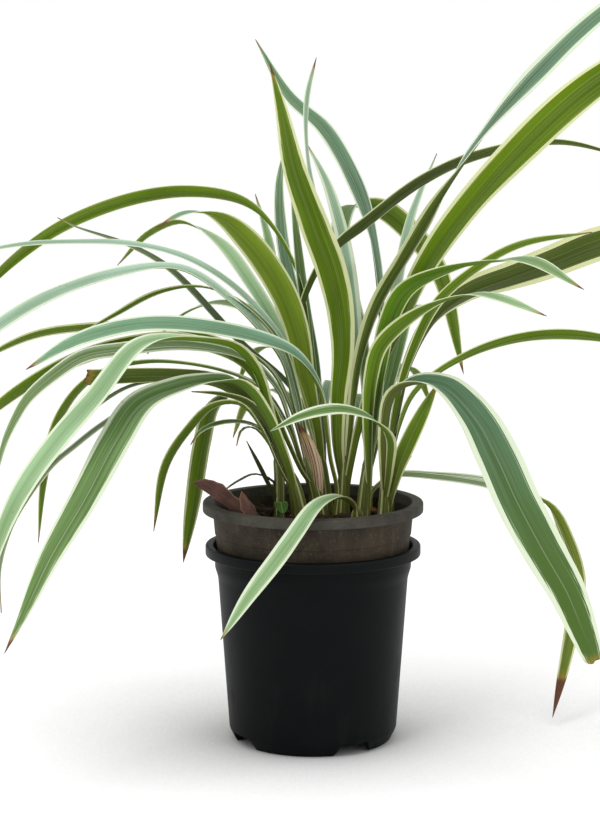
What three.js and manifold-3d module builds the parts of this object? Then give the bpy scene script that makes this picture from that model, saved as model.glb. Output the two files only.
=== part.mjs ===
// A variegated, long-leaved house plant in two nested nursery pots.
// Units are millimetres and +Z is up. The origin is on the floor under the pots' axis, and the
// photographed front faces -Y.
import * as THREE from 'three';
import { mergeVertices } from 'three/addons/utils/BufferGeometryUtils.js';
import Module from 'manifold-3d';

const wasm = await Module();
wasm.setup();

// ---- Driving dimensions ------------------------------------------------------------------------
const SEGMENTS = 48;            // flats round each pot
const FIT_GAP = 0.3;            // between pieces that rest on or in each other

const POT_HEIGHT = 158;
const WALL = 1.4;
const RIM_RADIUS = 86;
const RIM_HEIGHT = 8;
const RIM_INNER_RADIUS = 80;
const COLLAR_RADIUS = 78.5;
const COLLAR_BOTTOM = 140;
const SHOULDER_RADIUS = 76;
const SHOULDER_BOTTOM = 132;
const FOOT_HEIGHT = 9;
const FOOT_RADIUS = 67.3;       // wall radius where the feet begin
const FOOT_BOTTOM_RADIUS = 62.6;
const FOOT_INNER_RADIUS = 58;
const BASE_THICKNESS = 2;
const FOOT_COUNT = 4;
const FOOT_TURN = -105;         // degrees, the middle of the front foot, from +X
const NOTCH_TOP_WIDTH = 24;     // the gap between two feet, wider at the floor
const NOTCH_BOTTOM_WIDTH = 34;
const NOTCH_OVERSHOOT = 4;      // how far a notch's cutter passes the foot ring on either side
const DRAIN_RADIUS = 5;
const DRAIN_CIRCLE = 40;
const RIM_TOP_EDGE = 1.2;       // bevels on the rims
const RIM_LOW_EDGE = 0.9;

const STICK_OUT = 34.5;         // how far the inner pot stands up out of the outer one
const INNER_RIM_RADIUS = 88;
const INNER_RIM_INNER_RADIUS = 79;
const INNER_RIM_HEIGHT = 7.7;
const INNER_NECK_RADIUS = 80;   // wall just under the rim
const INNER_STEP_RADIUS = 78.4; // wall at the fine moulded step
const INNER_STEP_BELOW_TOP = 25.5;
const INNER_STEP_DEPTH = 0.6;
const INNER_LIP = 1;            // extra thickness of the wall above the step
const INNER_LIP_DROP = 2;       // how far below the outside's corners the inside's corners sit

const SOIL_BELOW_RIM = 17.5;
const SOIL_LUMP = 1.5;          // height of the lumps, up and down
const SOIL_RINGS = [16, 32, 48, 62];
const LONG_WAVE = [11, 13];     // lengths of the lumps along x and y, per radian
const SHORT_WAVE = [5.3, 6.1];
const LONG_SHARE = 0.65;        // of the lumps' height
const CROWN_HOLE_CLEARANCE = 1.1;
const STEM_HOLE_CLEARANCE = 0.5;
const STEM_HOLE_DEPTH = 9;
const CROWN_HOLE_SIDES = 12;
const STEM_HOLE_SIDES = 8;
const DRAIN_SIDES = 12;
const HOLE_OVERSHOOT = 10;

const CROWN_SIDES = 8;
const CROWN_RADIUS = 7.5;
const CROWN_TOP_RADIUS = 4.6;
const CROWN_BOTTOM = 152;       // how deep the crowns stand in the soil
const CROWN_STEPS = 5;

const BLADE_THICKNESS = 0.9;
const BLADE_STEP = 34;          // length between two cross-sections of a leaf
const BLADE_STEPS_MIN = 6;
const BLADE_STEPS_MAX = 15;
const BLADE_BASE_WIDTH = 0.34;  // as a fraction of the full width
const BLADE_BASE_LEAST = 6.5;   // mm, unless that is nearly the full width
const BLADE_BASE_MOST = 0.8;    // as a fraction of the full width
const BLADE_OPENED = 0.56;      // where along the leaf it has opened from that to its full width
const BLADE_TIP_WIDTH = 1.4;
const BLADE_WIDEST = 0.5;       // where along the leaf it begins to close towards its tip
const BLADE_TAPER = 3;          // higher keeps the blade wide for longer towards its tip
const BLADE_BASE_FOLD = 44;     // degrees that each half is folded up, at the base
const BLADE_TIP_FOLD = 12;
const BLADE_UNFOLDED = 0.625;   // how far along the leaf it has unfolded to that
const LEAF_RISE = 0.6;          // where a leaf leaves its crown, from 0 to 1 up the crown
const LEAF_ROOT = 0.3;          // how much lower in the crown its path begins
const LEAF_ROOT_MIN = 0.05;

// ---- The plant ---------------------------------------------------------------------------------
// Every shoot is a crown of sheathed leaf bases and the leaves that leave it. Paths are lists of
// [x, y, z]. A leaf starts inside its crown at `rise`, a fraction of the crown's height, and `roll`
// turns the blade about its own length, in degrees, at even steps from base to tip. `tip` is the
// share of its width that a cut or torn leaf keeps at its end, and `taper` replaces BLADE_TAPER.
const SHOOTS = [
  {
    name: 'slim_left_shoot',
    crown: [[-27, 22, CROWN_BOTTOM], [-27, 22, 175], [-27, 22, 208], [-29, 20, 234]],
    radius: 5.5,
    leaves: [
      { width: 9, roll: [0, -20], rise: 0.9, via: [[-41, 17, 248], [-65, 8, 255], [-88, -4, 250],
        [-97, -10, 239]] },
      { width: 7, roll: [0], rise: 0.9, via: [[-47, 17, 249], [-57, 9, 248], [-61, 5, 236]] },
      { width: 4, roll: [0], via: [[-44, 14, 212], [-60, 1, 208], [-74, -12, 200]] },
      { width: 5, roll: [20], rise: 0.35, via: [[-38, 14, 208], [-53, 4, 240]] },
    ],
  },
  {
    name: 'left_front_shoot',
    crown: [[-8, 2, CROWN_BOTTOM], [-8, 2, 175], [-13, 1, 200], [-20, -2, 222]],
    leaves: [
      { width: 26, roll: [0, 0, -20], via: [[-25, -5, 232], [-34, -13, 262], [-44, -25, 298],
        [-61, -42, 321], [-88, -60, 329], [-130, -100, 328], [-162, -130, 291], [-187, -148, 263],
        [-207, -162, 236], [-222, -172, 208], [-232, -182, 177], [-236, -186, 144]] },
      { width: 31, roll: [0, -10, -25], taper: 2.3, via: [[-24, -9, 232], [-38, -19, 266],
        [-58, -36, 293], [-80, -52, 296], [-102, -76, 294], [-129, -108, 285], [-146, -135, 261],
        [-167, -165, 222], [-190, -190, 183], [-208, -212, 144], [-219, -222, 122]] },
      { width: 15, roll: [0, 55, 60], tip: 1, via: [[-27, 3, 232], [-44, 4, 264], [-72, 0, 287],
        [-110, -10, 294], [-180, -25, 294]] },
      { width: 9, roll: [0, -12], via: [[-30, 6, 236], [-48, 8, 268], [-72, 4, 286],
        [-104, -25, 293], [-128, -50, 286], [-149, -72, 272], [-165, -85, 262], [-181, -97, 250],
        [-196, -108, 238], [-213, -122, 216], [-225, -132, 194], [-232, -140, 166],
        [-231, -146, 134]] },
      { width: 13, roll: [0, 20, 28], via: [[-28, 3, 224], [-41, 4, 251], [-57, 8, 269],
        [-80, 20, 266], [-100, 31, 246], [-120, 40, 214], [-130, 40, 160]] },
      { width: 18, roll: [0, 25], taper: 4, via: [[-26, 5, 226], [-41, 7, 256], [-62, 18, 275],
        [-81, 40, 262], [-91, 62, 228], [-99, 75, 180], [-108, 80, 126]] },
      { width: 14, roll: [0, 30], via: [[-25, 0, 226], [-37, -2, 254], [-52, -6, 272],
        [-72, -15, 280], [-95, -30, 284]] },
      { width: 8, roll: [0, -15], via: [[-29, 4, 230], [-45, 5, 262], [-68, 4, 285],
        [-102, 0, 289], [-127, -6, 289], [-146, -12, 285], [-165, -25, 275], [-181, -40, 262],
        [-194, -55, 245], [-203, -64, 226]] },
    ],
  },
  {
    name: 'left_middle_shoot',
    crown: [[7, 22, CROWN_BOTTOM], [7, 22, 175], [2, 20, 200], [-6, 16, 225]],
    leaves: [
      { width: 20, roll: [10, -5, -10, -10, -30, -52, -55], via: [[-7, 20, 235], [-15, 22, 268],
        [-24, 24, 302], [-45, 28, 330], [-66, 34, 350], [-107, 44, 375], [-160, 50, 370],
        [-225, 54, 346], [-285, 56, 305], [-322, 57, 268]] },
      { width: 12, roll: [-10, 0, 40], via: [[-5, 24, 236], [-13, 28, 276], [-25, 32, 313],
        [-50, 38, 342], [-85, 50, 359], [-125, 64, 354], [-165, 76, 333], [-195, 82, 316]] },
      { width: 14, roll: [0, 50], via: [[-8, 26, 232], [-18, 32, 264], [-34, 42, 293],
        [-65, 55, 312], [-125, 75, 324], [-190, 92, 322], [-235, 100, 314], [-293, 110, 286]] },
      { width: 18, roll: [0, 50, 50], via: [[-9, 14, 215], [-21, 12, 240], [-34, 13, 268],
        [-58, 17, 302], [-105, 18, 319], [-150, 12, 316], [-190, 5, 304], [-230, 0, 283],
        [-268, -6, 252], [-292, -10, 217]] },
      { width: 15, roll: [0, -40, -40], via: [[-9, 18, 224], [-18, 18, 252], [-29, 17, 281],
        [-55, 13, 306], [-100, 6, 317], [-150, -2, 314], [-181, -7, 309], [-205, -13, 294],
        [-224, -18, 277], [-235, -20, 259], [-243, -22, 241], [-252, -25, 204]] },
      { width: 13, roll: [0, 30], taper: 4, via: [[-10, 22, 224], [-22, 27, 252], [-41, 37, 278],
        [-75, 50, 292], [-135, 62, 297], [-181, 68, 283], [-209, 74, 250], [-223, 78, 198],
        [-229, 80, 143]] },
      { width: 16, roll: [20], rise: 0.5, via: [[2, 14, 213], [-4, 10, 235], [-12, 8, 254]] },
    ],
  },
  {
    name: 'left_back_shoot',
    crown: [[11, 50, CROWN_BOTTOM], [11, 50, 175], [9, 51, 200], [5, 52, 228]],
    leaves: [
      { width: 13, roll: [-10, 10, 55, 60, 60], via: [[5, 54, 250], [-1, 60, 310], [-7, 66, 355],
        [-28, 82, 400], [-58, 105, 426], [-110, 130, 433], [-170, 155, 421], [-230, 175, 393],
        [-290, 195, 342], [-325, 207, 292]] },
      { width: 8, roll: [0, -30, -25], via: [[0, 54, 245], [-20, 60, 278], [-60, 75, 312],
        [-117, 100, 369], [-150, 112, 388], [-200, 130, 404], [-215, 135, 411]] },
      { width: 15, roll: [-20, -12, -12], via: [[2, 52, 240], [-9, 52, 280], [-25, 51, 315],
        [-60, 58, 355], [-102, 68, 381], [-148, 80, 392], [-200, 90, 393], [-245, 100, 390],
        [-292, 108, 379], [-334, 114, 360]] },
      { width: 24, roll: [0, 35, 35, -20], via: [[3, 50, 240], [-6, 46, 285], [-14, 36, 328],
        [-26, 22, 360], [-50, -5, 398], [-76, -35, 422], [-98, -55, 424], [-118, -72, 414]] },
      { width: 14, roll: [0, -10, -25, -25, 25, 40], via: [[2, 54, 240], [-10, 59, 284],
        [-25, 70, 317], [-50, 90, 358], [-78, 115, 392], [-112, 140, 407], [-140, 155, 396],
        [-168, 170, 368]] },
      { width: 12, roll: [0], via: [[7, 55, 238], [0, 62, 285], [-15, 80, 345], [-25, 105, 393],
        [-28, 130, 436], [-24, 165, 468]] },
      { width: 14, roll: [0], via: [[6, 56, 236], [-5, 64, 278], [-20, 78, 322], [-32, 95, 361],
        [-37, 110, 394], [-48, 130, 431]] },
      { width: 15, roll: [-10, -30, -50, -50, -40], taper: 2, via: [[5, 52, 240], [-6, 51, 288],
        [-12, 48, 328], [6, 42, 377], [24, 42, 397], [40, 45, 409], [87, 55, 444], [135, 70, 465],
        [202, 95, 475], [270, 120, 460]] },
      { width: 15, roll: [0], via: [[5, 60, 232], [-5, 78, 272], [-20, 110, 297], [-40, 150, 300],
        [-56, 190, 283], [-66, 215, 258]] },
      { width: 13, roll: [0], via: [[6, 56, 238], [2, 60, 290], [-7, 65, 345], [-14, 70, 405],
        [-18, 77, 440]] },
      { width: 9, roll: [0], via: [[8, 66, 240], [11, 84, 268], [15, 106, 276], [21, 130, 262],
        [24, 150, 232]] },
      { width: 16, roll: [0, -15], via: [[2, 62, 240], [-14, 88, 290], [-44, 126, 328],
        [-84, 170, 336], [-120, 203, 318], [-146, 220, 286]] },
      { width: 15, roll: [0], via: [[4, 66, 226], [-8, 96, 252], [-34, 140, 264], [-56, 182, 248],
        [-70, 212, 212]] },
    ],
  },
  {
    name: 'centre_shoot',
    crown: [[24, 30, CROWN_BOTTOM], [24, 30, 175], [25, 29, 200], [26, 27, 225]],
    leaves: [
      { width: 28, roll: [0], taper: 2, via: [[20, 24, 232], [20, 21, 271], [23, 17, 308],
        [21, 8, 343], [14, -10, 375], [0, -40, 415], [-15, -75, 459], [-24, -105, 502],
        [-32, -130, 535]] },
      { width: 8, roll: [0, 0, 0, 20, 50, 0], taper: 6, via: [[20, 33, 245], [18, 42, 318],
        [8, 68, 396], [-5, 80, 468], [-5, 88, 510], [3, 98, 544]] },
      { width: 14, roll: [0], via: [[28, 32, 235], [31, 36, 275], [34, 41, 312], [31, 52, 356],
        [24, 70, 399], [12, 92, 440], [-5, 115, 474]] },
      { width: 23, roll: [-20, -30, -28, -20, 25, 60, 62, 62], via: [[29, 26, 235], [32, 23, 270],
        [37, 17, 305], [50, 8, 347], [80, -8, 401], [106, -20, 447], [133, -35, 487],
        [172, -50, 532], [215, -60, 573], [262, -72, 605], [304, -82, 622]] },
      { width: 29, roll: [-10, -22, -38, -72, -75], via: [[33, 22, 229], [42, 16, 265],
        [53, 11, 298], [68, 4, 332], [83, -6, 369], [105, -22, 408], [156, -50, 471],
        [212, -80, 524], [270, -105, 556], [326, -125, 566]] },
      { width: 22, roll: [-10, -20, -33, -28, -38], taper: 4, via: [[15, 27, 225], [7, 20, 277],
        [-5, 10, 300], [-22, 0, 315], [-72, -15, 331], [-133, -25, 336], [-185, -35, 324],
        [-222, -45, 303]] },
    ],
  },
  {
    name: 'centre_right_shoot',
    crown: [[40, 22, CROWN_BOTTOM], [40, 22, 175], [42, 21, 200], [45, 19, 225]],
    leaves: [
      { width: 20, roll: [20, 30, 45, 38, 5, -15, -10], via: [[48, 30, 238], [54, 36, 276],
        [56, 40, 312], [54, 50, 355], [48, 72, 400], [34, 95, 443], [10, 118, 485], [-20, 135, 513],
        [-48, 155, 560]] },
      { width: 19, roll: [-20, -25, -30, -5, 65], via: [[47, 15, 235], [49, 8, 268], [53, 0, 302],
        [59, -8, 335], [72, -18, 362], [102, -37, 379], [137, -60, 388], [165, -80, 389],
        [200, -108, 370]] },
      { width: 16, roll: [-20, -25, -30, 0, 65], via: [[44, 11, 228], [44, 3, 262], [46, -5, 292],
        [52, -12, 316], [68, -22, 335], [93, -40, 353], [120, -65, 363], [142, -82, 361],
        [173, -105, 350]] },
    ],
  },
  {
    name: 'right_shoot',
    crown: [[57, 2, CROWN_BOTTOM], [57, 2, 175], [58, 2, 200], [59, 2, 222]],
    leaves: [
      { width: 34, roll: [0, -28, -45, -68, -65], taper: 4, via: [[61, 5, 228], [66, 9, 260],
        [74, 14, 296], [96, 22, 336], [126, 32, 357], [158, 37, 368], [191, 43, 379], [232, 50, 394],
        [286, 58, 406], [334, 66, 406]] },
      { width: 12, roll: [0, -55, -50], via: [[60, -1, 230], [65, -2, 266], [78, 0, 310],
        [98, 2, 350], [133, 8, 380], [165, 14, 396], [222, 24, 405]] },
      { width: 14, roll: [0, -45, -45, 10], via: [[62, 6, 224], [69, 10, 252], [80, 14, 276],
        [100, 20, 293], [141, 35, 312], [187, 50, 320], [237, 62, 316], [282, 74, 301],
        [310, 82, 279]] },
      { width: 37, roll: [15, 25, 8, 22, 28, 30], tip: 0.38, via: [[57, -4, 225], [57, -9, 254],
        [62, -16, 280], [74, -25, 291], [99, -44, 292], [124, -75, 269], [138, -96, 243],
        [151, -118, 214], [169, -146, 180], [184, -166, 154], [195, -188, 126], [201, -202, 109]] },
      { width: 14, roll: [-30, -60], rise: 0.45, via: [[65, -6, 214], [75, -14, 241],
        [90, -24, 275], [97, -28, 290]] },
      { width: 9, roll: [0], rise: 0.45, tip: 1, via: [[65, 7, 205], [72, 11, 218],
        [79, 15, 230]] },
      { width: 14, roll: [0, 0, -35, -45], rise: 0.5, via: [[60, -13, 222], [60, -26, 246],
        [50, -40, 261], [36, -52, 270], [16, -66, 275], [-9, -75, 271], [-33, -80, 260]] },
      { width: 16, roll: [-20, -40], via: [[63, 8, 228], [69, 16, 264], [78, 26, 300],
        [90, 38, 334]] },
    ],
  },
  {
    name: 'front_leaf',
    crown: [[35, -12, CROWN_BOTTOM], [35, -12, 175], [35, -13, 184], [34, -16, 191]],
    leaves: [
      { width: 17, roll: [0, -10, -15], rise: 0.92, via: [[28, -32, 199], [16, -55, 205],
        [1, -84, 202], [-14, -104, 185], [-28, -113, 167], [-49, -119, 140], [-70, -123, 108]] },
    ],
  },
  {
    name: 'right_back_shoot',
    crown: [[42, 47, CROWN_BOTTOM], [42, 47, 175], [44, 50, 200], [46, 54, 226]],
    leaves: [
      { width: 20, roll: [0, 0, 0, -5, -50, -50, -40], taper: 4, via: [[45, 62, 255],
        [41, 80, 314], [26, 105, 372], [24, 125, 404], [33, 142, 421], [58, 160, 418],
        [78, 175, 404], [111, 200, 362], [135, 220, 268]] },
      { width: 11, roll: [0], via: [[52, 62, 260], [63, 76, 320], [72, 90, 369], [82, 105, 413],
        [104, 125, 465]] },
      { width: 18, roll: [30, 35, 35, -45, -55, -55], rise: 0.5, taper: 4, via: [[57, 58, 199],
        [70, 68, 202], [103, 90, 197], [151, 118, 186], [199, 126, 170], [216, 115, 140],
        [224, 98, 109], [218, 75, 78], [210, 55, 49], [197, 28, 7]] },
      { width: 14, roll: [0], via: [[51, 64, 238], [62, 84, 272], [73, 115, 308], [82, 150, 331],
        [94, 185, 332], [104, 215, 315]] },
      { width: 16, roll: [0, 15], via: [[52, 68, 232], [58, 96, 264], [74, 140, 284],
        [92, 184, 272], [106, 212, 240]] },
      { width: 14, roll: [0], via: [[46, 66, 222], [44, 88, 242], [40, 115, 256], [34, 150, 258],
        [32, 190, 230], [32, 215, 192]] },
    ],
  },
];

// Dry, brown litter lying on the soil. The long piece leans out over the left rim.
const DRY_LEAVES = [
  { name: 'dry_leaf_long', width: 26, fold: 50, roll: [60],
    via: [[-42, -34, 181], [-58, -30, 190], [-78, -22, 203], [-95, -14, 210]] },
  { name: 'dry_leaf_short', width: 17, fold: 42, roll: [180],
    via: [[-43, -55, 178], [-47, -50, 190], [-56, -42, 207]] },
];
const SEEDLING = { x: -28, y: -2, stemRadius: 1.2, stemTop: 191, leafLength: 15, leafWidth: 11 };

// ---- Colours -----------------------------------------------------------------------------------
const OUTER_POT_LOOK = { color: 0x17191c, roughness: 0.5, metalness: 0 };
const INNER_POT_LOOK = { color: 0x55504a, roughness: 0.8, metalness: 0 };
const SOIL_LOOK = { color: 0x2a211c, roughness: 1, metalness: 0 };
const LEAF_LOOK = { color: 0x6f8f5a, roughness: 0.5, metalness: 0 };
const DRY_LOOK = { color: 0x6e4438, roughness: 0.8, metalness: 0 };
const SEEDLING_LOOK = { color: 0x5fb12f, roughness: 0.5, metalness: 0 };

// ---- Solids ------------------------------------------------------------------------------------
function weldedGeometry(geometry) {
  const bare = geometry.clone();
  bare.deleteAttribute('normal');
  bare.deleteAttribute('uv');
  return mergeVertices(bare, 1e-4);
}

function solidFrom(geometry) {
  const welded = weldedGeometry(geometry);
  const corners = welded.index.array;
  const kept = [];
  for (let i = 0; i < corners.length; i += 3) {
    const [a, b, c] = [corners[i], corners[i + 1], corners[i + 2]];
    if (a !== b && b !== c && c !== a) kept.push(a, b, c);
  }
  return new wasm.Manifold(new wasm.Mesh({
    numProp: 3,
    vertProperties: new Float32Array(welded.attributes.position.array),
    triVerts: new Uint32Array(kept),
  }));
}

function geometryFrom(solid) {
  const mesh = solid.getMesh();
  const geometry = new THREE.BufferGeometry();
  geometry.setAttribute('position', new THREE.BufferAttribute(mesh.vertProperties, 3));
  geometry.setIndex(new THREE.BufferAttribute(mesh.triVerts, 1));
  geometry.computeVertexNormals();
  return geometry;
}

function namedMesh(name, geometry, look) {
  const mesh = new THREE.Mesh(geometry, new THREE.MeshStandardMaterial(look));
  mesh.name = name;
  return mesh;
}

function turned(profile) {
  const points = profile.map(([radius, z]) => new THREE.Vector2(radius, z));
  return new THREE.LatheGeometry(points, SEGMENTS).rotateX(Math.PI / 2);
}

function uprightRod(x, y, radius, bottom, top, sides) {
  const rod = new THREE.CylinderGeometry(radius, radius, top - bottom, sides);
  return rod.rotateX(Math.PI / 2).translate(x, y, (top + bottom) / 2);
}

// ---- Pots --------------------------------------------------------------------------------------
// Both pots stand on four feet cut out of a ring, and drain through holes in the base.
function withFeetAndDrains(pot, bottom) {
  let result = pot;
  const notchSide = new THREE.Shape([
    new THREE.Vector2(-NOTCH_BOTTOM_WIDTH / 2, -1),
    new THREE.Vector2(NOTCH_BOTTOM_WIDTH / 2, -1),
    new THREE.Vector2(NOTCH_TOP_WIDTH / 2, FOOT_HEIGHT),
    new THREE.Vector2(-NOTCH_TOP_WIDTH / 2, FOOT_HEIGHT),
  ]);
  const notchDepth = FOOT_RADIUS - FOOT_INNER_RADIUS + 2 * NOTCH_OVERSHOOT;
  const notchReach = FOOT_RADIUS + NOTCH_OVERSHOOT;
  for (let i = 0; i < FOOT_COUNT; i += 1) {
    const turn = THREE.MathUtils.degToRad(FOOT_TURN + (i + 0.5) * 360 / FOOT_COUNT);
    const notch = new THREE.ExtrudeGeometry(notchSide, { depth: notchDepth, bevelEnabled: false });
    notch.rotateX(Math.PI / 2).translate(0, notchReach, bottom).rotateZ(turn - Math.PI / 2);
    result = result.subtract(solidFrom(notch));
    const drainX = DRAIN_CIRCLE * Math.cos(turn);
    const drainY = DRAIN_CIRCLE * Math.sin(turn);
    const drain = uprightRod(drainX, drainY, DRAIN_RADIUS, bottom, bottom + 2 * FOOT_HEIGHT,
      DRAIN_SIDES);
    result = result.subtract(solidFrom(drain));
  }
  return result;
}

const WALL_SLOPE = (SHOULDER_RADIUS - FOOT_RADIUS) / (SHOULDER_BOTTOM - FOOT_HEIGHT);

function outerWallRadius(z) {
  return FOOT_RADIUS + WALL_SLOPE * (z - FOOT_HEIGHT);
}

function outerPot() {
  const floorTop = FOOT_HEIGHT + BASE_THICKNESS;
  const rimBottom = POT_HEIGHT - RIM_HEIGHT;
  const profile = [
    [0, FOOT_HEIGHT],
    [FOOT_INNER_RADIUS, FOOT_HEIGHT],
    [FOOT_INNER_RADIUS, 0],
    [FOOT_BOTTOM_RADIUS, 0],
    [FOOT_RADIUS, FOOT_HEIGHT],
    [SHOULDER_RADIUS, SHOULDER_BOTTOM],
    [COLLAR_RADIUS, COLLAR_BOTTOM],
    [COLLAR_RADIUS, rimBottom],
    [RIM_RADIUS - RIM_LOW_EDGE, rimBottom],
    [RIM_RADIUS, rimBottom + RIM_LOW_EDGE],
    [RIM_RADIUS, POT_HEIGHT - RIM_TOP_EDGE],
    [RIM_RADIUS - RIM_TOP_EDGE, POT_HEIGHT],
    [RIM_INNER_RADIUS, POT_HEIGHT],
    [COLLAR_RADIUS - WALL, rimBottom],
    [COLLAR_RADIUS - WALL, COLLAR_BOTTOM + WALL],
    [SHOULDER_RADIUS - WALL, SHOULDER_BOTTOM],
    [outerWallRadius(floorTop) - WALL, floorTop],
    [0, floorTop],
  ];
  return geometryFrom(withFeetAndDrains(solidFrom(turned(profile)), 0));
}

const INNER_TOP = POT_HEIGHT + STICK_OUT;
const INNER_BOTTOM = INNER_TOP - POT_HEIGHT;
const INNER_FOOT_TOP = INNER_BOTTOM + FOOT_HEIGHT;
const INNER_FLOOR_TOP = INNER_FOOT_TOP + BASE_THICKNESS;

// The inner pot wedges in the outer one, its wall FIT_GAP inside the outer pot's wall.
function innerWallRadius(z) {
  return outerWallRadius(z) - WALL - FIT_GAP;
}

function innerPot() {
  const rimBottom = INNER_TOP - INNER_RIM_HEIGHT;
  const stepHeight = INNER_TOP - INNER_STEP_BELOW_TOP;
  const footInner = FOOT_INNER_RADIUS;
  const profile = [
    [0, INNER_FOOT_TOP],
    [footInner, INNER_FOOT_TOP],
    [footInner, INNER_BOTTOM],
    [FOOT_BOTTOM_RADIUS, INNER_BOTTOM],
    [innerWallRadius(INNER_FOOT_TOP), INNER_FOOT_TOP],
    [innerWallRadius(SHOULDER_BOTTOM), SHOULDER_BOTTOM],
    [INNER_STEP_RADIUS - INNER_STEP_DEPTH, stepHeight - INNER_STEP_DEPTH],
    [INNER_STEP_RADIUS, stepHeight],
    [INNER_NECK_RADIUS, rimBottom],
    [INNER_RIM_RADIUS - RIM_LOW_EDGE, rimBottom],
    [INNER_RIM_RADIUS, rimBottom + RIM_LOW_EDGE],
    [INNER_RIM_RADIUS, INNER_TOP - RIM_TOP_EDGE],
    [INNER_RIM_RADIUS - RIM_TOP_EDGE, INNER_TOP],
    [INNER_RIM_INNER_RADIUS, INNER_TOP],
    [INNER_NECK_RADIUS - WALL - INNER_LIP, rimBottom - INNER_LIP_DROP],
    [INNER_STEP_RADIUS - WALL - INNER_LIP, stepHeight - INNER_LIP_DROP],
    [innerWallRadius(SHOULDER_BOTTOM) - WALL, SHOULDER_BOTTOM],
    [innerWallRadius(INNER_FLOOR_TOP) - WALL, INNER_FLOOR_TOP],
    [0, INNER_FLOOR_TOP],
  ];
  return geometryFrom(withFeetAndDrains(solidFrom(turned(profile)), INNER_BOTTOM));
}

// ---- Soil --------------------------------------------------------------------------------------
const SOIL_TOP = INNER_TOP - SOIL_BELOW_RIM;
const SOIL_EDGE = INNER_STEP_RADIUS - WALL - INNER_LIP - FIT_GAP;

function soilHeight(x, y) {
  const long = Math.sin(x / LONG_WAVE[0] + 0.6) * Math.cos(y / LONG_WAVE[1] - 0.4);
  const short = Math.sin(x / SHORT_WAVE[0] + y / SHORT_WAVE[1] + 1.2);
  return SOIL_TOP + SOIL_LUMP * (LONG_SHARE * long + (1 - LONG_SHARE) * short);
}

function soil() {
  const bottom = INNER_FLOOR_TOP + FIT_GAP;
  const lowEdge = innerWallRadius(bottom) - WALL - FIT_GAP;
  const shoulderEdge = innerWallRadius(SHOULDER_BOTTOM) - WALL - FIT_GAP;
  const stepHeight = INNER_TOP - INNER_STEP_BELOW_TOP - INNER_LIP_DROP;
  const profile = [[0, bottom], [lowEdge, bottom], [shoulderEdge, SHOULDER_BOTTOM],
    [SOIL_EDGE, stepHeight], [SOIL_EDGE, SOIL_TOP]];
  for (const radius of [...SOIL_RINGS].reverse()) profile.push([radius, SOIL_TOP]);
  profile.push([0, SOIL_TOP]);
  const body = weldedGeometry(turned(profile));
  const position = body.attributes.position;
  for (let i = 0; i < position.count; i += 1) {
    if (position.getZ(i) > SOIL_TOP - 0.01) {
      position.setZ(i, soilHeight(position.getX(i), position.getY(i)));
    }
  }
  let solid = solidFrom(body);
  for (const shoot of SHOOTS) {
    const [x, y] = shoot.crown[1];
    const radius = (shoot.radius ?? CROWN_RADIUS) + CROWN_HOLE_CLEARANCE;
    const top = SOIL_TOP + HOLE_OVERSHOOT;
    const hole = uprightRod(x, y, radius, CROWN_BOTTOM - FIT_GAP, top, CROWN_HOLE_SIDES);
    solid = solid.subtract(solidFrom(hole));
  }
  const stemHole = uprightRod(SEEDLING.x, SEEDLING.y, SEEDLING.stemRadius + STEM_HOLE_CLEARANCE,
    SOIL_TOP - STEM_HOLE_DEPTH, SOIL_TOP + HOLE_OVERSHOOT, STEM_HOLE_SIDES);
  return geometryFrom(solid.subtract(solidFrom(stemHole)));
}

// ---- Leaves and crowns -------------------------------------------------------------------------
function vector([x, y, z]) {
  return new THREE.Vector3(x, y, z);
}

function smoothCurve(points) {
  return new THREE.CatmullRomCurve3(points, false, 'centripetal');
}

// The value of evenly spaced keys at s, with soft steps between them.
function keyed(keys, s) {
  if (keys.length === 1) return keys[0];
  const place = Math.min(s, 0.9999) * (keys.length - 1);
  const key = Math.floor(place);
  const blend = THREE.MathUtils.smoothstep(place - key, 0, 1);
  return keys[key] + (keys[key + 1] - keys[key]) * blend;
}

function bladeWidth(leaf, s) {
  const opening = THREE.MathUtils.smoothstep(s, 0, BLADE_OPENED);
  const least = Math.min(BLADE_BASE_LEAST / leaf.width, BLADE_BASE_MOST);
  const base = Math.max(BLADE_BASE_WIDTH, least);
  const open = base + (1 - base) * opening;
  const past = Math.max(0, (s - BLADE_WIDEST) / (1 - BLADE_WIDEST));
  const closing = (1 - (leaf.tip ?? 0)) * past ** (leaf.taper ?? BLADE_TAPER);
  return Math.max(leaf.width * open * (1 - closing), BLADE_TIP_WIDTH);
}

// Tangent, width direction and top side of the blade at s.
function bladeFrame(curve, heading, leaf, s) {
  const along = curve.getTangentAt(s);
  const across = new THREE.Vector3().crossVectors(heading, new THREE.Vector3(0, 0, 1)).normalize();
  across.addScaledVector(along, -across.dot(along)).normalize();
  const roll = THREE.MathUtils.degToRad(keyed(leaf.roll, s));
  across.applyAxisAngle(along, roll);
  const top = new THREE.Vector3().crossVectors(across, along).normalize();
  return { across, top };
}

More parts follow.
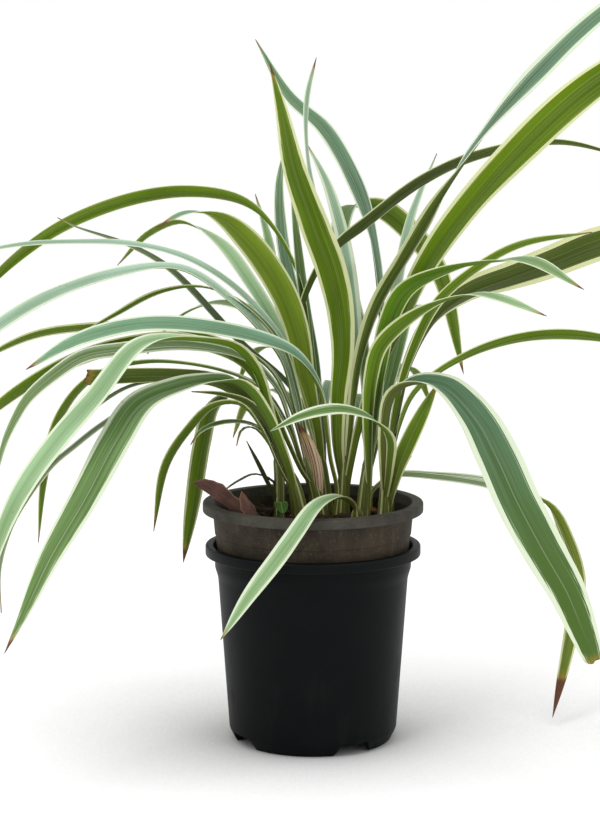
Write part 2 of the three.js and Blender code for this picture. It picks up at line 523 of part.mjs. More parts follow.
// A blade is folded along its midrib. Its six corners at each station are the two edges and the
// midrib, on the top side and on the underside.
function bladeSolid(points, leaf) {
  const curve = smoothCurve(points);
  const heading = points[points.length - 1].clone().sub(points[0]).setZ(0);
  const wanted = Math.round(curve.getLength() / BLADE_STEP);
  const steps = THREE.MathUtils.clamp(wanted, BLADE_STEPS_MIN, BLADE_STEPS_MAX);
  const corners = [];
  for (let i = 0; i <= steps; i += 1) {
    const s = i / steps;
    const centre = curve.getPointAt(s);
    const { across, top } = bladeFrame(curve, heading, leaf, s);
    const half = bladeWidth(leaf, s) / 2;
    const baseFold = leaf.fold ?? BLADE_BASE_FOLD;
    const tipFold = leaf.fold ?? BLADE_TIP_FOLD;
    const unfolded = Math.min(1, s / BLADE_UNFOLDED);
    const fold = THREE.MathUtils.degToRad(baseFold + (tipFold - baseFold) * unfolded);
    const reach = half * Math.cos(fold);
    const lift = half * Math.sin(fold);
    for (const side of [BLADE_THICKNESS / 2, -BLADE_THICKNESS / 2]) {
      for (const [sideways, raised] of [[-reach, lift], [0, 0], [reach, lift]]) {
        corners.push(centre.clone()
          .addScaledVector(across, sideways)
          .addScaledVector(top, raised - lift / 2 + side));
      }
    }
  }
  return solidFrom(sweptGeometry(corners, [0, 1, 2, 5, 4, 3], steps, 3));
}

// Joins rings of corners into a closed sweep. `loop` is the order of a ring's corners round it.
// From `mirrored` on, each four-sided face is split along its other diagonal, so that both faces of
// a thin blade bend alike and never cross.
function sweptGeometry(corners, loop, steps, mirrored) {
  const count = loop.length;
  const index = [];
  for (let i = 0; i < steps; i += 1) {
    for (let j = 0; j < count; j += 1) {
      const a = i * count + loop[j];
      const b = i * count + loop[(j + 1) % count];
      if (j < mirrored) index.push(a, b, a + count, b, b + count, a + count);
      else index.push(a, b, b + count, a, b + count, a + count);
    }
  }
  for (let j = 1; j + 1 < count; j += 1) {
    index.push(loop[0], loop[j + 1], loop[j]);
    index.push(...[loop[0], loop[j], loop[j + 1]].map((corner) => corner + steps * count));
  }
  const geometry = new THREE.BufferGeometry();
  const flat = corners.flatMap((corner) => corner.toArray());
  geometry.setAttribute('position', new THREE.BufferAttribute(new Float32Array(flat), 3));
  geometry.setIndex(index);
  return geometry;
}

function crownSolid(shoot) {
  const curve = smoothCurve(shoot.crown.map(vector));
  const radius = shoot.radius ?? CROWN_RADIUS;
  const corners = [];
  for (let i = 0; i <= CROWN_STEPS; i += 1) {
    const s = i / CROWN_STEPS;
    const centre = curve.getPointAt(s);
    const size = radius + (CROWN_TOP_RADIUS - radius) * s;
    for (let j = 0; j < CROWN_SIDES; j += 1) {
      const angle = 2 * Math.PI * j / CROWN_SIDES;
      const outward = new THREE.Vector3(Math.cos(angle), Math.sin(angle), 0);
      corners.push(centre.clone().addScaledVector(outward, size));
    }
  }
  const loop = [...Array(CROWN_SIDES).keys()];
  return solidFrom(sweptGeometry(corners, loop, CROWN_STEPS, CROWN_SIDES));
}

// A leaf's path starts low inside the crown, follows it up to `rise`, and goes on through its via.
function leafPath(shoot, leaf) {
  const crown = smoothCurve(shoot.crown.map(vector));
  const rise = leaf.rise ?? LEAF_RISE;
  const root = Math.max(LEAF_ROOT_MIN, rise - LEAF_ROOT);
  return [crown.getPointAt(root), crown.getPointAt(rise), ...leaf.via.map(vector)];
}

// The largest body: leaves out loose scraps and fills any pocket that crossing blades close off.
function largestBody(solid) {
  return solid.decompose().reduce((best, body) => (body.volume() > best.volume() ? body : best));
}

function shootGeometry(shoot) {
  const blades = shoot.leaves.map((leaf) => bladeSolid(leafPath(shoot, leaf), leaf));
  return geometryFrom(largestBody(wasm.Manifold.union([crownSolid(shoot), ...blades])));
}

// ---- Litter and seedling -----------------------------------------------------------------------
function dryLeafGeometry(leaf) {
  return geometryFrom(bladeSolid(leaf.via.map(vector), leaf));
}

function seedlingGeometry() {
  const { x, y, stemRadius, stemTop, leafLength, leafWidth } = SEEDLING;
  const stem = solidFrom(uprightRod(x, y, stemRadius, SOIL_TOP - 8, stemTop, 6));
  const path = [[x, y + 2, stemTop - 2], [x + 2, y - 4, stemTop + 1],
    [x + 4, y - leafLength, stemTop - 6]];
  const leaf = { width: leafWidth, roll: [0], fold: 8 };
  return geometryFrom(stem.add(bladeSolid(path.map(vector), leaf)));
}

// ---- The whole plant ---------------------------------------------------------------------------
const plant = new THREE.Group();
plant.add(namedMesh('outer_pot', outerPot(), OUTER_POT_LOOK));
plant.add(namedMesh('inner_pot', innerPot(), INNER_POT_LOOK));
plant.add(namedMesh('soil', soil(), SOIL_LOOK));
for (const shoot of SHOOTS) plant.add(namedMesh(shoot.name, shootGeometry(shoot), LEAF_LOOK));
for (const leaf of DRY_LEAVES) plant.add(namedMesh(leaf.name, dryLeafGeometry(leaf), DRY_LOOK));
plant.add(namedMesh('seedling', seedlingGeometry(), SEEDLING_LOOK));

export default plant;
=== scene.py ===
# Looks of a variegated, long-leaved house plant in two nested nursery pots.
# Lengths in the tables are millimetres, as in the part's source. Objects are in metres.
import math

import bmesh
import bpy
import numpy as np
from mathutils import Euler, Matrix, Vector


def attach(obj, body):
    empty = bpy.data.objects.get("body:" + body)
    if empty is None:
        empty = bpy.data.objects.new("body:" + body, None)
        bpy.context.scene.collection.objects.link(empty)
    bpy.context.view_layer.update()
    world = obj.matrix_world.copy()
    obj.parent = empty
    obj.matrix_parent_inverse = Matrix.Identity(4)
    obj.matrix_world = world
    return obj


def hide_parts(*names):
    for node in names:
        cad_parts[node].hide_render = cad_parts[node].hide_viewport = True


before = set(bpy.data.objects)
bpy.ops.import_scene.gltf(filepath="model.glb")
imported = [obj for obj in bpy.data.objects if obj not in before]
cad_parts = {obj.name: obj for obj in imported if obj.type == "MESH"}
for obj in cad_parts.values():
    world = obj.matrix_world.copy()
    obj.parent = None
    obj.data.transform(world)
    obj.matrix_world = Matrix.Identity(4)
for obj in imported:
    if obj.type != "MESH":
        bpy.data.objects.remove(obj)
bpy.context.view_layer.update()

MM = 0.001


def added(name, data):
    """A new object in the scene."""
    made = bpy.data.objects.new(name, data)
    bpy.context.scene.collection.objects.link(made)
    return made


# ---- Camera ----
CAMERA_PLACE = (-10.4, -1800.0, 508.0)
CAMERA_PITCH = 7.7  # degrees below the horizon
FOCAL_PIXELS = 2288.0
FRAME_LONG_SIDE = 822.0
SENSOR = 36.0


def make_camera():
    data = bpy.data.cameras.new("camera")
    data.sensor_fit = "AUTO"
    data.sensor_width = SENSOR
    data.lens = FOCAL_PIXELS * SENSOR / FRAME_LONG_SIDE
    data.clip_end = 100
    camera = added("camera", data)
    camera.location = Vector(CAMERA_PLACE) * MM
    camera.rotation_euler = Euler((math.radians(90 - CAMERA_PITCH), 0, 0))
    bpy.context.scene.camera = camera


make_camera()


# ---- The plant, as in the part's source ----
def points(text):
    """Points written as x y z, with commas between them."""
    return np.array([point.split() for point in text.split(",")], float)


def leaf(tone, margin, brown, width, roll, via, **more):
    """A leaf's tone, its cream margins as a share of each half, the mm of dry tip, its width, the
    degrees it is rolled along its length and the points it passes. More may hold its rise, tip and
    taper, and marks: each one's share of the length, place across and size in mm."""
    return dict(tone=tone, margin=margin, brown=brown, width=width, roll=roll, via=points(via), **more)


SHOOTS = {
    "slim_left_shoot": dict(crown="-27 22 152, -27 22 175, -27 22 208, -29 20 234", radius=5.5, leaves=[
        leaf("green", .25, 3, 9, [0, -20], "-41 17 248, -65 8 255, -88 -4 250, -97 -10 239", rise=.9),
        leaf("green", .25, 3, 7, [0], "-47 17 249, -57 9 248, -61 5 236", rise=.9),
        leaf("dead", 0, 0, 4, [0], "-44 14 212, -60 1 208, -74 -12 200"),
        leaf("dead", 0, 0, 5, [20], "-38 14 208, -53 4 240", rise=.35),
    ]),
    "left_front_shoot": dict(crown="-8 2 152, -8 2 175, -13 1 200, -20 -2 222", leaves=[
        leaf("mint", .22, 6, 26, [0, 0, -20], "-25 -5 232, -34 -13 262, -44 -25 298, -61 -42 321, "
             "-88 -60 329, -130 -100 328, -162 -130 291, -187 -148 263, -207 -162 236, -222 -172 208, "
             "-232 -182 177, -236 -186 144", marks=[[.44, -.5, 5]]),
        leaf("leaf", .2, 9, 31, [0, -10, -25], "-24 -9 232, -38 -19 266, -58 -36 293, -80 -52 296, "
             "-102 -76 294, -129 -108 285, -146 -135 261, -167 -165 222, -190 -190 183, -208 -212 144, "
             "-219 -222 122", taper=2.3, marks=[[.36, -.1, 5]]),
        leaf("dark", .06, 2, 15, [0, 55, 60], "-27 3 232, -44 4 264, -72 0 287, -110 -10 294, "
             "-180 -25 294", tip=1),
        leaf("dark", .1, 5, 9, [0, -12], "-30 6 236, -48 8 268, -72 4 286, -104 -25 293, -128 -50 286, "
             "-149 -72 272, -165 -85 262, -181 -97 250, -196 -108 238, -213 -122 216, -225 -132 194, "
             "-232 -140 166, -231 -146 134"),
        leaf("green", .18, 9, 13, [0, 20, 28], "-28 3 224, -41 4 251, -57 8 269, -80 20 266, -100 31 246, "
             "-120 40 214, -130 40 160"),
        leaf("green", .2, 11, 18, [0, 25], "-26 5 226, -41 7 256, -62 18 275, -81 40 262, -91 62 228, "
             "-99 75 180, -108 80 126", taper=4),
        leaf("dark", .22, 5, 14, [0, 30], "-25 0 226, -37 -2 254, -52 -6 272, -72 -15 280, -95 -30 284"),
        leaf("dark", .12, 4, 8, [0, -15], "-29 4 230, -45 5 262, -68 4 285, -102 0 289, -127 -6 289, "
             "-146 -12 285, -165 -25 275, -181 -40 262, -194 -55 245, -203 -64 226"),
    ]),
    "left_middle_shoot": dict(crown="7 22 152, 7 22 175, 2 20 200, -6 16 225", leaves=[
        leaf("pale", .18, 4, 20, [10, -5, -10, -10, -30, -52, -55], "-7 20 235, -15 22 268, -24 24 302, "
             "-45 28 330, -66 34 350, -107 44 375, -160 50 370, -225 54 346, -285 56 305, -322 57 268"),
        leaf("green", .3, 4, 12, [-10, 0, 40], "-5 24 236, -13 28 276, -25 32 313, -50 38 342, -85 50 359, "
             "-125 64 354, -165 76 333, -195 82 316"),
        leaf("green", .3, 4, 14, [0, 50], "-8 26 232, -18 32 264, -34 42 293, -65 55 312, -125 75 324, "
             "-190 92 322, -235 100 314, -293 110 286"),
        leaf("green", .2, 4, 18, [0, 50, 50], "-9 14 215, -21 12 240, -34 13 268, -58 17 302, -105 18 319, "
             "-150 12 316, -190 5 304, -230 0 283, -268 -6 252, -292 -10 217"),
        leaf("striped", .22, 5, 15, [0, -40, -40], "-9 18 224, -18 18 252, -29 17 281, -55 13 306, "
             "-100 6 317, -150 -2 314, -181 -7 309, -205 -13 294, -224 -18 277, -235 -20 259, "
             "-243 -22 241, -252 -25 204"),
        leaf("green", .22, 5, 13, [0, 30], "-10 22 224, -22 27 252, -41 37 278, -75 50 292, -135 62 297, "
             "-181 68 283, -209 74 250, -223 78 198, -229 80 143", taper=4),
        leaf("sheath", 0, 9, 16, [20], "2 14 213, -4 10 235, -12 8 254", rise=.5),
    ]),
    "left_back_shoot": dict(crown="11 50 152, 11 50 175, 9 51 200, 5 52 228", leaves=[
        leaf("green", .1, 4, 13, [-10, 10, 55, 60, 60], "5 54 250, -1 60 310, -7 66 355, -28 82 400, "
             "-58 105 426, -110 130 433, -170 155 421, -230 175 393, -290 195 342, -325 207 292"),
        leaf("dark", .1, 4, 8, [0, -30, -25], "0 54 245, -20 60 278, -60 75 312, -117 100 369, "
             "-150 112 388, -200 130 404, -215 135 411"),
        leaf("pale", .2, 4, 15, [-20, -12, -12], "2 52 240, -9 52 280, -25 51 315, -60 58 355, "
             "-102 68 381, -148 80 392, -200 90 393, -245 100 390, -292 108 379, -334 114 360"),
        leaf("teal", .16, 10, 24, [0, 35, 35, -20], "3 50 240, -6 46 285, -14 36 328, -26 22 360, "
             "-50 -5 398, -76 -35 422, -98 -55 424, -118 -72 414"),
        leaf("mint", .22, 6, 14, [0, -10, -25, -25, 25, 40], "2 54 240, -10 59 284, -25 70 317, "
             "-50 90 358, -78 115 392, -112 140 407, -140 155 396, -168 170 368"),
        leaf("jade", .2, 4, 12, [0], "7 55 238, 0 62 285, -15 80 345, -25 105 393, -28 130 436, "
             "-24 165 468"),
        leaf("mint", .25, 4, 14, [0], "6 56 236, -5 64 278, -20 78 322, -32 95 361, -37 110 394, "
             "-48 130 431"),
        leaf("dark", .12, 6, 15, [-10, -30, -50, -50, -40], "5 52 240, -6 51 288, -12 48 328, 6 42 377, "
             "24 42 397, 40 45 409, 87 55 444, 135 70 465, 202 95 475, 270 120 460", taper=2),
        leaf("green", .2, 5, 15, [0], "5 60 232, -5 78 272, -20 110 297, -40 150 300, -56 190 283, "
             "-66 215 258"),
        leaf("green", .15, 4, 13, [0], "6 56 238, 2 60 290, -7 65 345, -14 70 405, -18 77 440"),
        leaf("pale", .3, 3, 9, [0], "8 66 240, 11 84 268, 15 106 276, 21 130 262, 24 150 232"),
        leaf("green", .2, 5, 16, [0, -15], "2 62 240, -14 88 290, -44 126 328, -84 170 336, -120 203 318, "
             "-146 220 286"),
        leaf("striped", .2, 5, 15, [0], "4 66 226, -8 96 252, -34 140 264, -56 182 248, -70 212 212"),
    ]),
    "centre_shoot": dict(crown="24 30 152, 24 30 175, 25 29 200, 26 27 225", leaves=[
        leaf("green", .3, 9, 28, [0], "20 24 232, 20 21 271, 23 17 308, 21 8 343, 14 -10 375, 0 -40 415, "
             "-15 -75 459, -24 -105 502, -32 -130 535", taper=2),
        leaf("pale", .3, 8, 8, [0, 0, 0, 20, 50, 0], "20 33 245, 18 42 318, 8 68 396, -5 80 468, "
             "-5 88 510, 3 98 544", taper=6),
        leaf("pale", .5, 4, 14, [0], "28 32 235, 31 36 275, 34 41 312, 31 52 356, 24 70 399, 12 92 440, "
             "-5 115 474"),
        leaf("jade", .34, 5, 23, [-20, -30, -28, -20, 25, 60, 62, 62], "29 26 235, 32 23 270, 37 17 305, "
             "50 8 347, 80 -8 401, 106 -20 447, 133 -35 487, 172 -50 532, 215 -60 573, 262 -72 605, "
             "304 -82 622"),
        leaf("green", .2, 5, 29, [-10, -22, -38, -72, -75], "33 22 229, 42 16 265, 53 11 298, 68 4 332, "
             "83 -6 369, 105 -22 408, 156 -50 471, 212 -80 524, 270 -105 556, 326 -125 566"),
        leaf("teal", .24, 6, 22, [-10, -20, -33, -28, -38], "15 27 225, 7 20 277, -5 10 300, -22 0 315, "
             "-72 -15 331, -133 -25 336, -185 -35 324, -222 -45 303", taper=4),
    ]),
    "centre_right_shoot": dict(crown="40 22 152, 40 22 175, 42 21 200, 45 19 225", leaves=[
        leaf("jade", .18, 5, 20, [20, 30, 45, 38, 5, -15, -10], "48 30 238, 54 36 276, 56 40 312, "
             "54 50 355, 48 72 400, 34 95 443, 10 118 485, -20 135 513, -48 155 560"),
        leaf("bright", .16, 5, 19, [-20, -25, -30, -5, 65], "47 15 235, 49 8 268, 53 0 302, 59 -8 335, "
             "72 -18 362, 102 -37 379, 137 -60 388, 165 -80 389, 200 -108 370"),
        leaf("mint", .24, 4, 16, [-20, -25, -30, 0, 65], "44 11 228, 44 3 262, 46 -5 292, 52 -12 316, "
             "68 -22 335, 93 -40 353, 120 -65 363, 142 -82 361, 173 -105 350"),
    ]),
    "right_shoot": dict(crown="57 2 152, 57 2 175, 58 2 200, 59 2 222", leaves=[
        leaf("dark", .24, 5, 34, [0, -28, -45, -68, -65], "61 5 228, 66 9 260, 74 14 296, 96 22 336, "
             "126 32 357, 158 37 368, 191 43 379, 232 50 394, 286 58 406, 334 66 406", taper=4),
        leaf("green", .2, 4, 12, [0, -55, -50], "60 -1 230, 65 -2 266, 78 0 310, 98 2 350, 133 8 380, "
             "165 14 396, 222 24 405"),
        leaf("green", .12, 4, 14, [0, -45, -45, 10], "62 6 224, 69 10 252, 80 14 276, 100 20 293, "
             "141 35 312, 187 50 320, 237 62 316, 282 74 301, 310 82 279"),
        leaf("blue", .26, -2, 37, [15, 25, 8, 22, 28, 30], "57 -4 225, 57 -9 254, 62 -16 280, 74 -25 291, "
             "99 -44 292, 124 -75 269, 138 -96 243, 151 -118 214, 169 -146 180, 184 -166 154, "
             "195 -188 126, 201 -202 109", tip=.38),
        leaf("green", .14, 4, 14, [-30, -60], "65 -6 214, 75 -14 241, 90 -24 275, 97 -28 290", rise=.45),
        leaf("green", .2, 1, 9, [0], "65 7 205, 72 11 218, 79 15 230", rise=.45, tip=1),
        leaf("leaf", .34, -9, 14, [0, 0, -35, -45], "60 -13 222, 60 -26 246, 50 -40 261, 36 -52 270, "
             "16 -66 275, -9 -75 271, -33 -80 260", rise=.5),
        leaf("green", .2, 4, 16, [-20, -40], "63 8 228, 69 16 264, 78 26 300, 90 38 334"),
    ]),
    "front_leaf": dict(crown="35 -12 152, 35 -12 175, 35 -13 184, 34 -16 191", leaves=[
        leaf("mint", .34, 2, 17, [0, -10, -15], "28 -32 199, 16 -55 205, 1 -84 202, -14 -104 185, "
             "-28 -113 167, -49 -119 140, -70 -123 108", rise=.92),
    ]),
    "right_back_shoot": dict(crown="42 47 152, 42 47 175, 44 50 200, 46 54 226", leaves=[
        leaf("green", .16, 8, 20, [0, 0, 0, -5, -50, -50, -40], "45 62 255, 41 80 314, 26 105 372, "
             "24 125 404, 33 142 421, 58 160 418, 78 175 404, 111 200 362, 135 220 268", taper=4),
        leaf("pale", .2, 4, 11, [0], "52 62 260, 63 76 320, 72 90 369, 82 105 413, 104 125 465"),
        leaf("striped", .24, 34, 18, [30, 35, 35, -45, -55, -55], "57 58 199, 70 68 202, 103 90 197, "
             "151 118 186, 199 126 170, 216 115 140, 224 98 109, 218 75 78, 210 55 49, "
             "197 28 7", rise=.5, taper=4),
        leaf("green", .2, 5, 14, [0], "51 64 238, 62 84 272, 73 115 308, 82 150 331, 94 185 332, "
             "104 215 315"),
        leaf("green", .2, 5, 16, [0, 15], "52 68 232, 58 96 264, 74 140 284, 92 184 272, 106 212 240"),
        leaf("green", .2, 5, 14, [0], "46 66 222, 44 88 242, 40 115 256, 34 150 258, 32 190 230, "
             "32 215 192"),
    ]),
}


DRY_LEAVES = {
    "dry_leaf_long": dict(width=26, fold=50, roll=[60],
                          via=points("-42 -34 181, -58 -30 190, -78 -22 203, -95 -14 210")),
    "dry_leaf_short": dict(width=17, fold=42, roll=[180],
                           via=points("-43 -55 178, -47 -50 190, -56 -42 207")),
}
SEEDLING = dict(x=-28, y=-2, stem_radius=1.2, stem_top=191, leaf_length=15, leaf_width=11)

CROWN_RADIUS, CROWN_TOP_RADIUS = 7.5, 4.6
RISE, ROOT, ROOT_MIN = 0.6, 0.3, 0.05
BASE_WIDTH, BASE_LEAST, BASE_MOST = 0.34, 6.5, 0.8
TIP_WIDTH, OPENED, WIDEST, TAPER = 1.0, 0.56, 0.5, 3
BASE_FOLD, TIP_FOLD, UNFOLDED_BY = 44, 12, 0.625

# ---- Curves ----
CURVE_SAMPLES, TANGENT_STEP = 240, 0.012


class Path:
    """A centripetal spline through the points, read by its arc length."""

    def __init__(self, through):
        knots = np.array(through, float)
        knots = np.vstack([2 * knots[0] - knots[1], knots, 2 * knots[-1] - knots[-2]])
        gaps = np.sqrt(np.linalg.norm(np.diff(knots, axis=0), axis=1))
        pieces = []
        count = len(knots) - 3
        for i in range(count):
            a, b, c, d = knots[i:i + 4]
            g0, g1, g2 = gaps[i:i + 3]
            leave = ((b - a) / g0 - (c - a) / (g0 + g1) + (c - b) / g1) * g1
            reach = ((c - b) / g1 - (d - b) / (g1 + g2) + (d - c) / g2) * g1
            t = np.linspace(0, 1, CURVE_SAMPLES // count, endpoint=i == count - 1)[:, None]
            cubic = 2 * b - 2 * c + leave + reach
            square = -3 * b + 3 * c - 2 * leave - reach
            pieces.append(b + leave * t + square * t ** 2 + cubic * t ** 3)
        self.dots = np.vstack(pieces)
        steps = np.linalg.norm(np.diff(self.dots, axis=0), axis=1)
        self.walked = np.concatenate([[0], np.cumsum(steps)])
        self.length = self.walked[-1]
        self.heading = unit((self.dots[-1] - self.dots[0]) * [1, 1, 0])

    def at(self, s):
        """The points at the fractions s of the length."""
        wanted = np.asarray(s, float) * self.length
        return np.stack([np.interp(wanted, self.walked, self.dots[:, k]) for k in range(3)], -1)

    def tangent(self, s):
        return unit(self.at(np.minimum(s + TANGENT_STEP, 1)) - self.at(np.maximum(s - TANGENT_STEP, 0)))


def unit(vectors):
    return vectors / np.maximum(np.linalg.norm(vectors, axis=-1, keepdims=True), 1e-9)


def soft_step(x):
    x = np.clip(x, 0, 1)
    return x * x * (3 - 2 * x)


def keyed(keys, s):
    """The value of evenly spaced keys at s, with soft steps between them."""
    keys = np.array(keys, float)
    if len(keys) == 1:
        return np.full_like(s, keys[0])
    place = np.minimum(s, 0.9999) * (len(keys) - 1)
    low = place.astype(int)
    return keys[low] + (keys[low + 1] - keys[low]) * soft_step(place - low)


def circle(count):
    """The angles of so many places round a circle."""
    return np.linspace(0, 2 * math.pi, count, endpoint=False)


# ---- Mesh building ----
class Mesh:
    """Collects rings and faces with their looks, then makes one object of them."""

    def __init__(self):
        self.points, self.faces, self.looks = [], [], []
        self.count = 0

    def add(self, dots, faces, blade=None, leaf=None, tone=None, mark=None):
        """Points in mm. The looks are one row for each point; a missing one is zeros."""
        dots = np.asarray(dots, float).reshape(-1, 3)
        blank = np.zeros_like(dots)
        self.looks.append([blank if x is None else x for x in (blade, leaf, tone, mark)])
        self.faces.extend([[i + self.count for i in face] for face in faces])
        self.points.append(dots)
        self.count += len(dots)

    def made(self, name, material, sharp=50):
        mesh = bpy.data.meshes.new(name)
        mesh.from_pydata((np.vstack(self.points) * MM).tolist(), [], self.faces)
        for k, kind in enumerate(("blade", "leaf", "tone", "mark")):
            found = np.vstack([look[k] for look in self.looks]).astype(np.float32)
            if found.any():
                made = mesh.attributes.new(kind, "FLOAT_VECTOR", "POINT")
                made.data.foreach_set("vector", found.ravel())
        mesh.validate()
        mesh.shade_smooth()
        mesh.set_sharp_from_angle(angle=math.radians(sharp))
        mesh.materials.append(material)
        return added(name, mesh)


def tube_faces(stations, around):
    """Faces of an open tube of rings."""
    faces = []
    for low in range(0, (stations - 1) * around, around):
        for j in range(around):
            k = (j + 1) % around
            faces.append((low + j, low + k, low + k + around, low + j + around))
    return faces


def swept_faces(stations, around):
    """Faces of a closed sweep of rings, with its two end caps."""
    caps = [tuple(reversed(range(around))), tuple(range((stations - 1) * around, stations * around))]
    return tube_faces(stations, around) + caps


# ---- Leaves ----
ACROSS = np.array([-1, -0.94, -0.8, -0.6, -0.38, -0.18, -0.05, 0.05, 0.18, 0.38, 0.6, 0.8, 0.94, 1])
STATION_GAP = 6.0  # mm of leaf between two rings
EDGE_THICK, RIB_THICK = 0.35, 1.1
BULGE, WAVES, WAVE_DEPTH = 0.055, 3, 0.012
SHORTEST_WAVE, WAVE_SPREAD = 55, 60
SOIL_FOLD = 62  # degrees, how far a base is folded where it leaves the soil
FOLD_EASE = 70.0  # mm over which a base opens from that
ROLL_SWING = 4  # degrees
TORN_LENGTH, TORN_DEPTH = 12.0, 3.0
SOIL_TOP = 175.0
UP = np.array([0, 0, 1.0])
STAND_OFF = (0.25, 0.6, 0.9)  # how far out bases stand, as shares of the crown's radius
LEAST_SHEATH, SHEATH_FLARE = 0.05, 0.15
CROWN_SHARES = np.linspace(0, 1, 60)
CROWN_RINGS, CROWN_AROUND, CROWN_SHEATHS = 24, 60, 5
CORE_SIZE, CORE_CLOSING, CORE_CLOSES_FROM = 0.88, 0.6, 0.8
CORE_UNDER, CORE_MARGIN, SHEATH_LAP = 0.5, 0.22, 0.09
CROWN_SUNK = 20  # mm of a crown under the soil
FAR_TIP = 500  # mm, for the core, which has no tip
# Each tone is one number for leaf_material(), with its screen colours above and below.
# The colours above carry a painted bluish sheen; those below are darker as painted shade and yellower as
# painted light shining through.
TONES = {"blue": (0.0, (82, 116, 90), (88, 98, 36)), "jade": (0.035, (94, 128, 104), (90, 108, 34)),
         "leaf": (0.07, (96, 129, 70), (92, 124, 30)), "mint": (0.15, (152, 186, 142), (98, 130, 14)),
         "teal": (0.22, (112, 154, 128), (120, 144, 32)), "pale": (0.3, (156, 186, 166), (118, 142, 42)),
         "striped": (0.4, (112, 136, 90), (112, 130, 36)), "green": (0.5, (88, 120, 60), (92, 120, 0)),
         "bright": (0.65, (124, 156, 108), (88, 128, 0)), "dark": (0.8, (70, 88, 54), (66, 82, 16)),
         "sheath": (0.9, (236, 204, 176), (236, 204, 176)), "dead": (1.0, (52, 40, 30), (52, 40, 30))}


def blade_width(leaf, s):
    base = max(BASE_WIDTH, min(BASE_LEAST / leaf["width"], BASE_MOST))
    open_width = base + (1 - base) * soft_step(s / OPENED)
    past = np.maximum(0, (s - WIDEST) / (1 - WIDEST))
    closing = (1 - leaf.get("tip", 0)) * past ** leaf.get("taper", TAPER)
    return np.maximum(leaf["width"] * open_width * (1 - closing), TIP_WIDTH * (1.3 - 0.9 * s))


def blade_frames(path, roll, s):
    along = path.tangent(s)
    across = unit(np.cross(path.heading, UP))
    across = unit(across - (along @ across)[:, None] * along)
    angle = np.radians(roll)[:, None]
    turned = across * np.cos(angle) + np.cross(along, across) * np.sin(angle)
    return turned, unit(np.cross(turned, along))


def rows(*values):
    """One row of three looks for each point."""
    return np.stack(values, -1).reshape(-1, 3)


def add_blade(mesh, leaf, path, dice, s, centre, across, top, half, fold, seed):
    """One blade or sheath: rings of the top side, then of the underside."""
    stations = len(s)
    length = path.length
    u = ACROSS[None, :]
    lean = np.radians(fold)[:, None]
    half_width = half[:, None]
    raised = half_width * np.sin(lean) * (np.sqrt(u ** 2 + 0.012) - 0.61)
    raised = raised + BULGE * half_width * np.sin(np.pi * np.abs(u))
    for _ in range(WAVES):
        cycles = length / (SHORTEST_WAVE + WAVE_SPREAD * dice.random())
        for side in (-1, 1):
            phase = dice.random() * 2 * math.pi
            swing = np.sin(s * cycles * 2 * math.pi + phase)[:, None]
            raised = raised + WAVE_DEPTH * half_width * swing * np.maximum(0, side * u) ** 2
    thick = (EDGE_THICK + (RIB_THICK - EDGE_THICK) * (1 - np.abs(u)) ** 1.5) / 2
    sideways = half_width * np.cos(lean) * u
    middle = centre[:, None] + sideways[..., None] * across[:, None] + raised[..., None] * top[:, None]
    upper = middle + thick[..., None] * top[:, None]
    lower = middle - thick[..., None] * top[:, None]
    if leaf.get("tip"):
        ragged = np.sin(ACROSS * 4 + dice.random() * 6) + 0.6 * dice.random(len(ACROSS)) + ACROSS ** 2
        ragged = (ragged + 1) / 2 * TORN_DEPTH * min(1, half[-1] / 5)
        near_end = soft_step(1 - (1 - s) * length / TORN_LENGTH)[:, None]
        back = (near_end * ragged)[..., None] * unit(centre[-1] - centre[-3])
        upper, lower = upper - back, lower - back

    def both(a, b=None):
        b = a if b is None else b
        return np.concatenate([a, b[:, ::-1]], axis=1)

    lateral = half_width * u
    run = np.broadcast_to((s * length)[:, None], lateral.shape)
    under = both(np.zeros_like(lateral), np.ones_like(lateral))
    blade = rows(both(lateral), both(run), both(length - run))
    look = rows(both(half_width - np.abs(lateral)), under, np.full_like(under, seed))
    tone = TONES[leaf.get("tone", "green")][0], leaf.get("margin", 0), leaf.get("brown", 0)
    mark = np.zeros_like(look)
    for place, sideways_share, size in leaf.get("marks", ()):
        far = np.hypot(blade[:, 1] - place * length, blade[:, 0] - sideways_share * half.max())
        mark[:, 0] = np.maximum(mark[:, 0], 1 - far / size)
    mesh.add(both(upper, lower), swept_faces(stations, 2 * len(ACROSS)), blade, look,
             np.broadcast_to(tone, look.shape), mark)


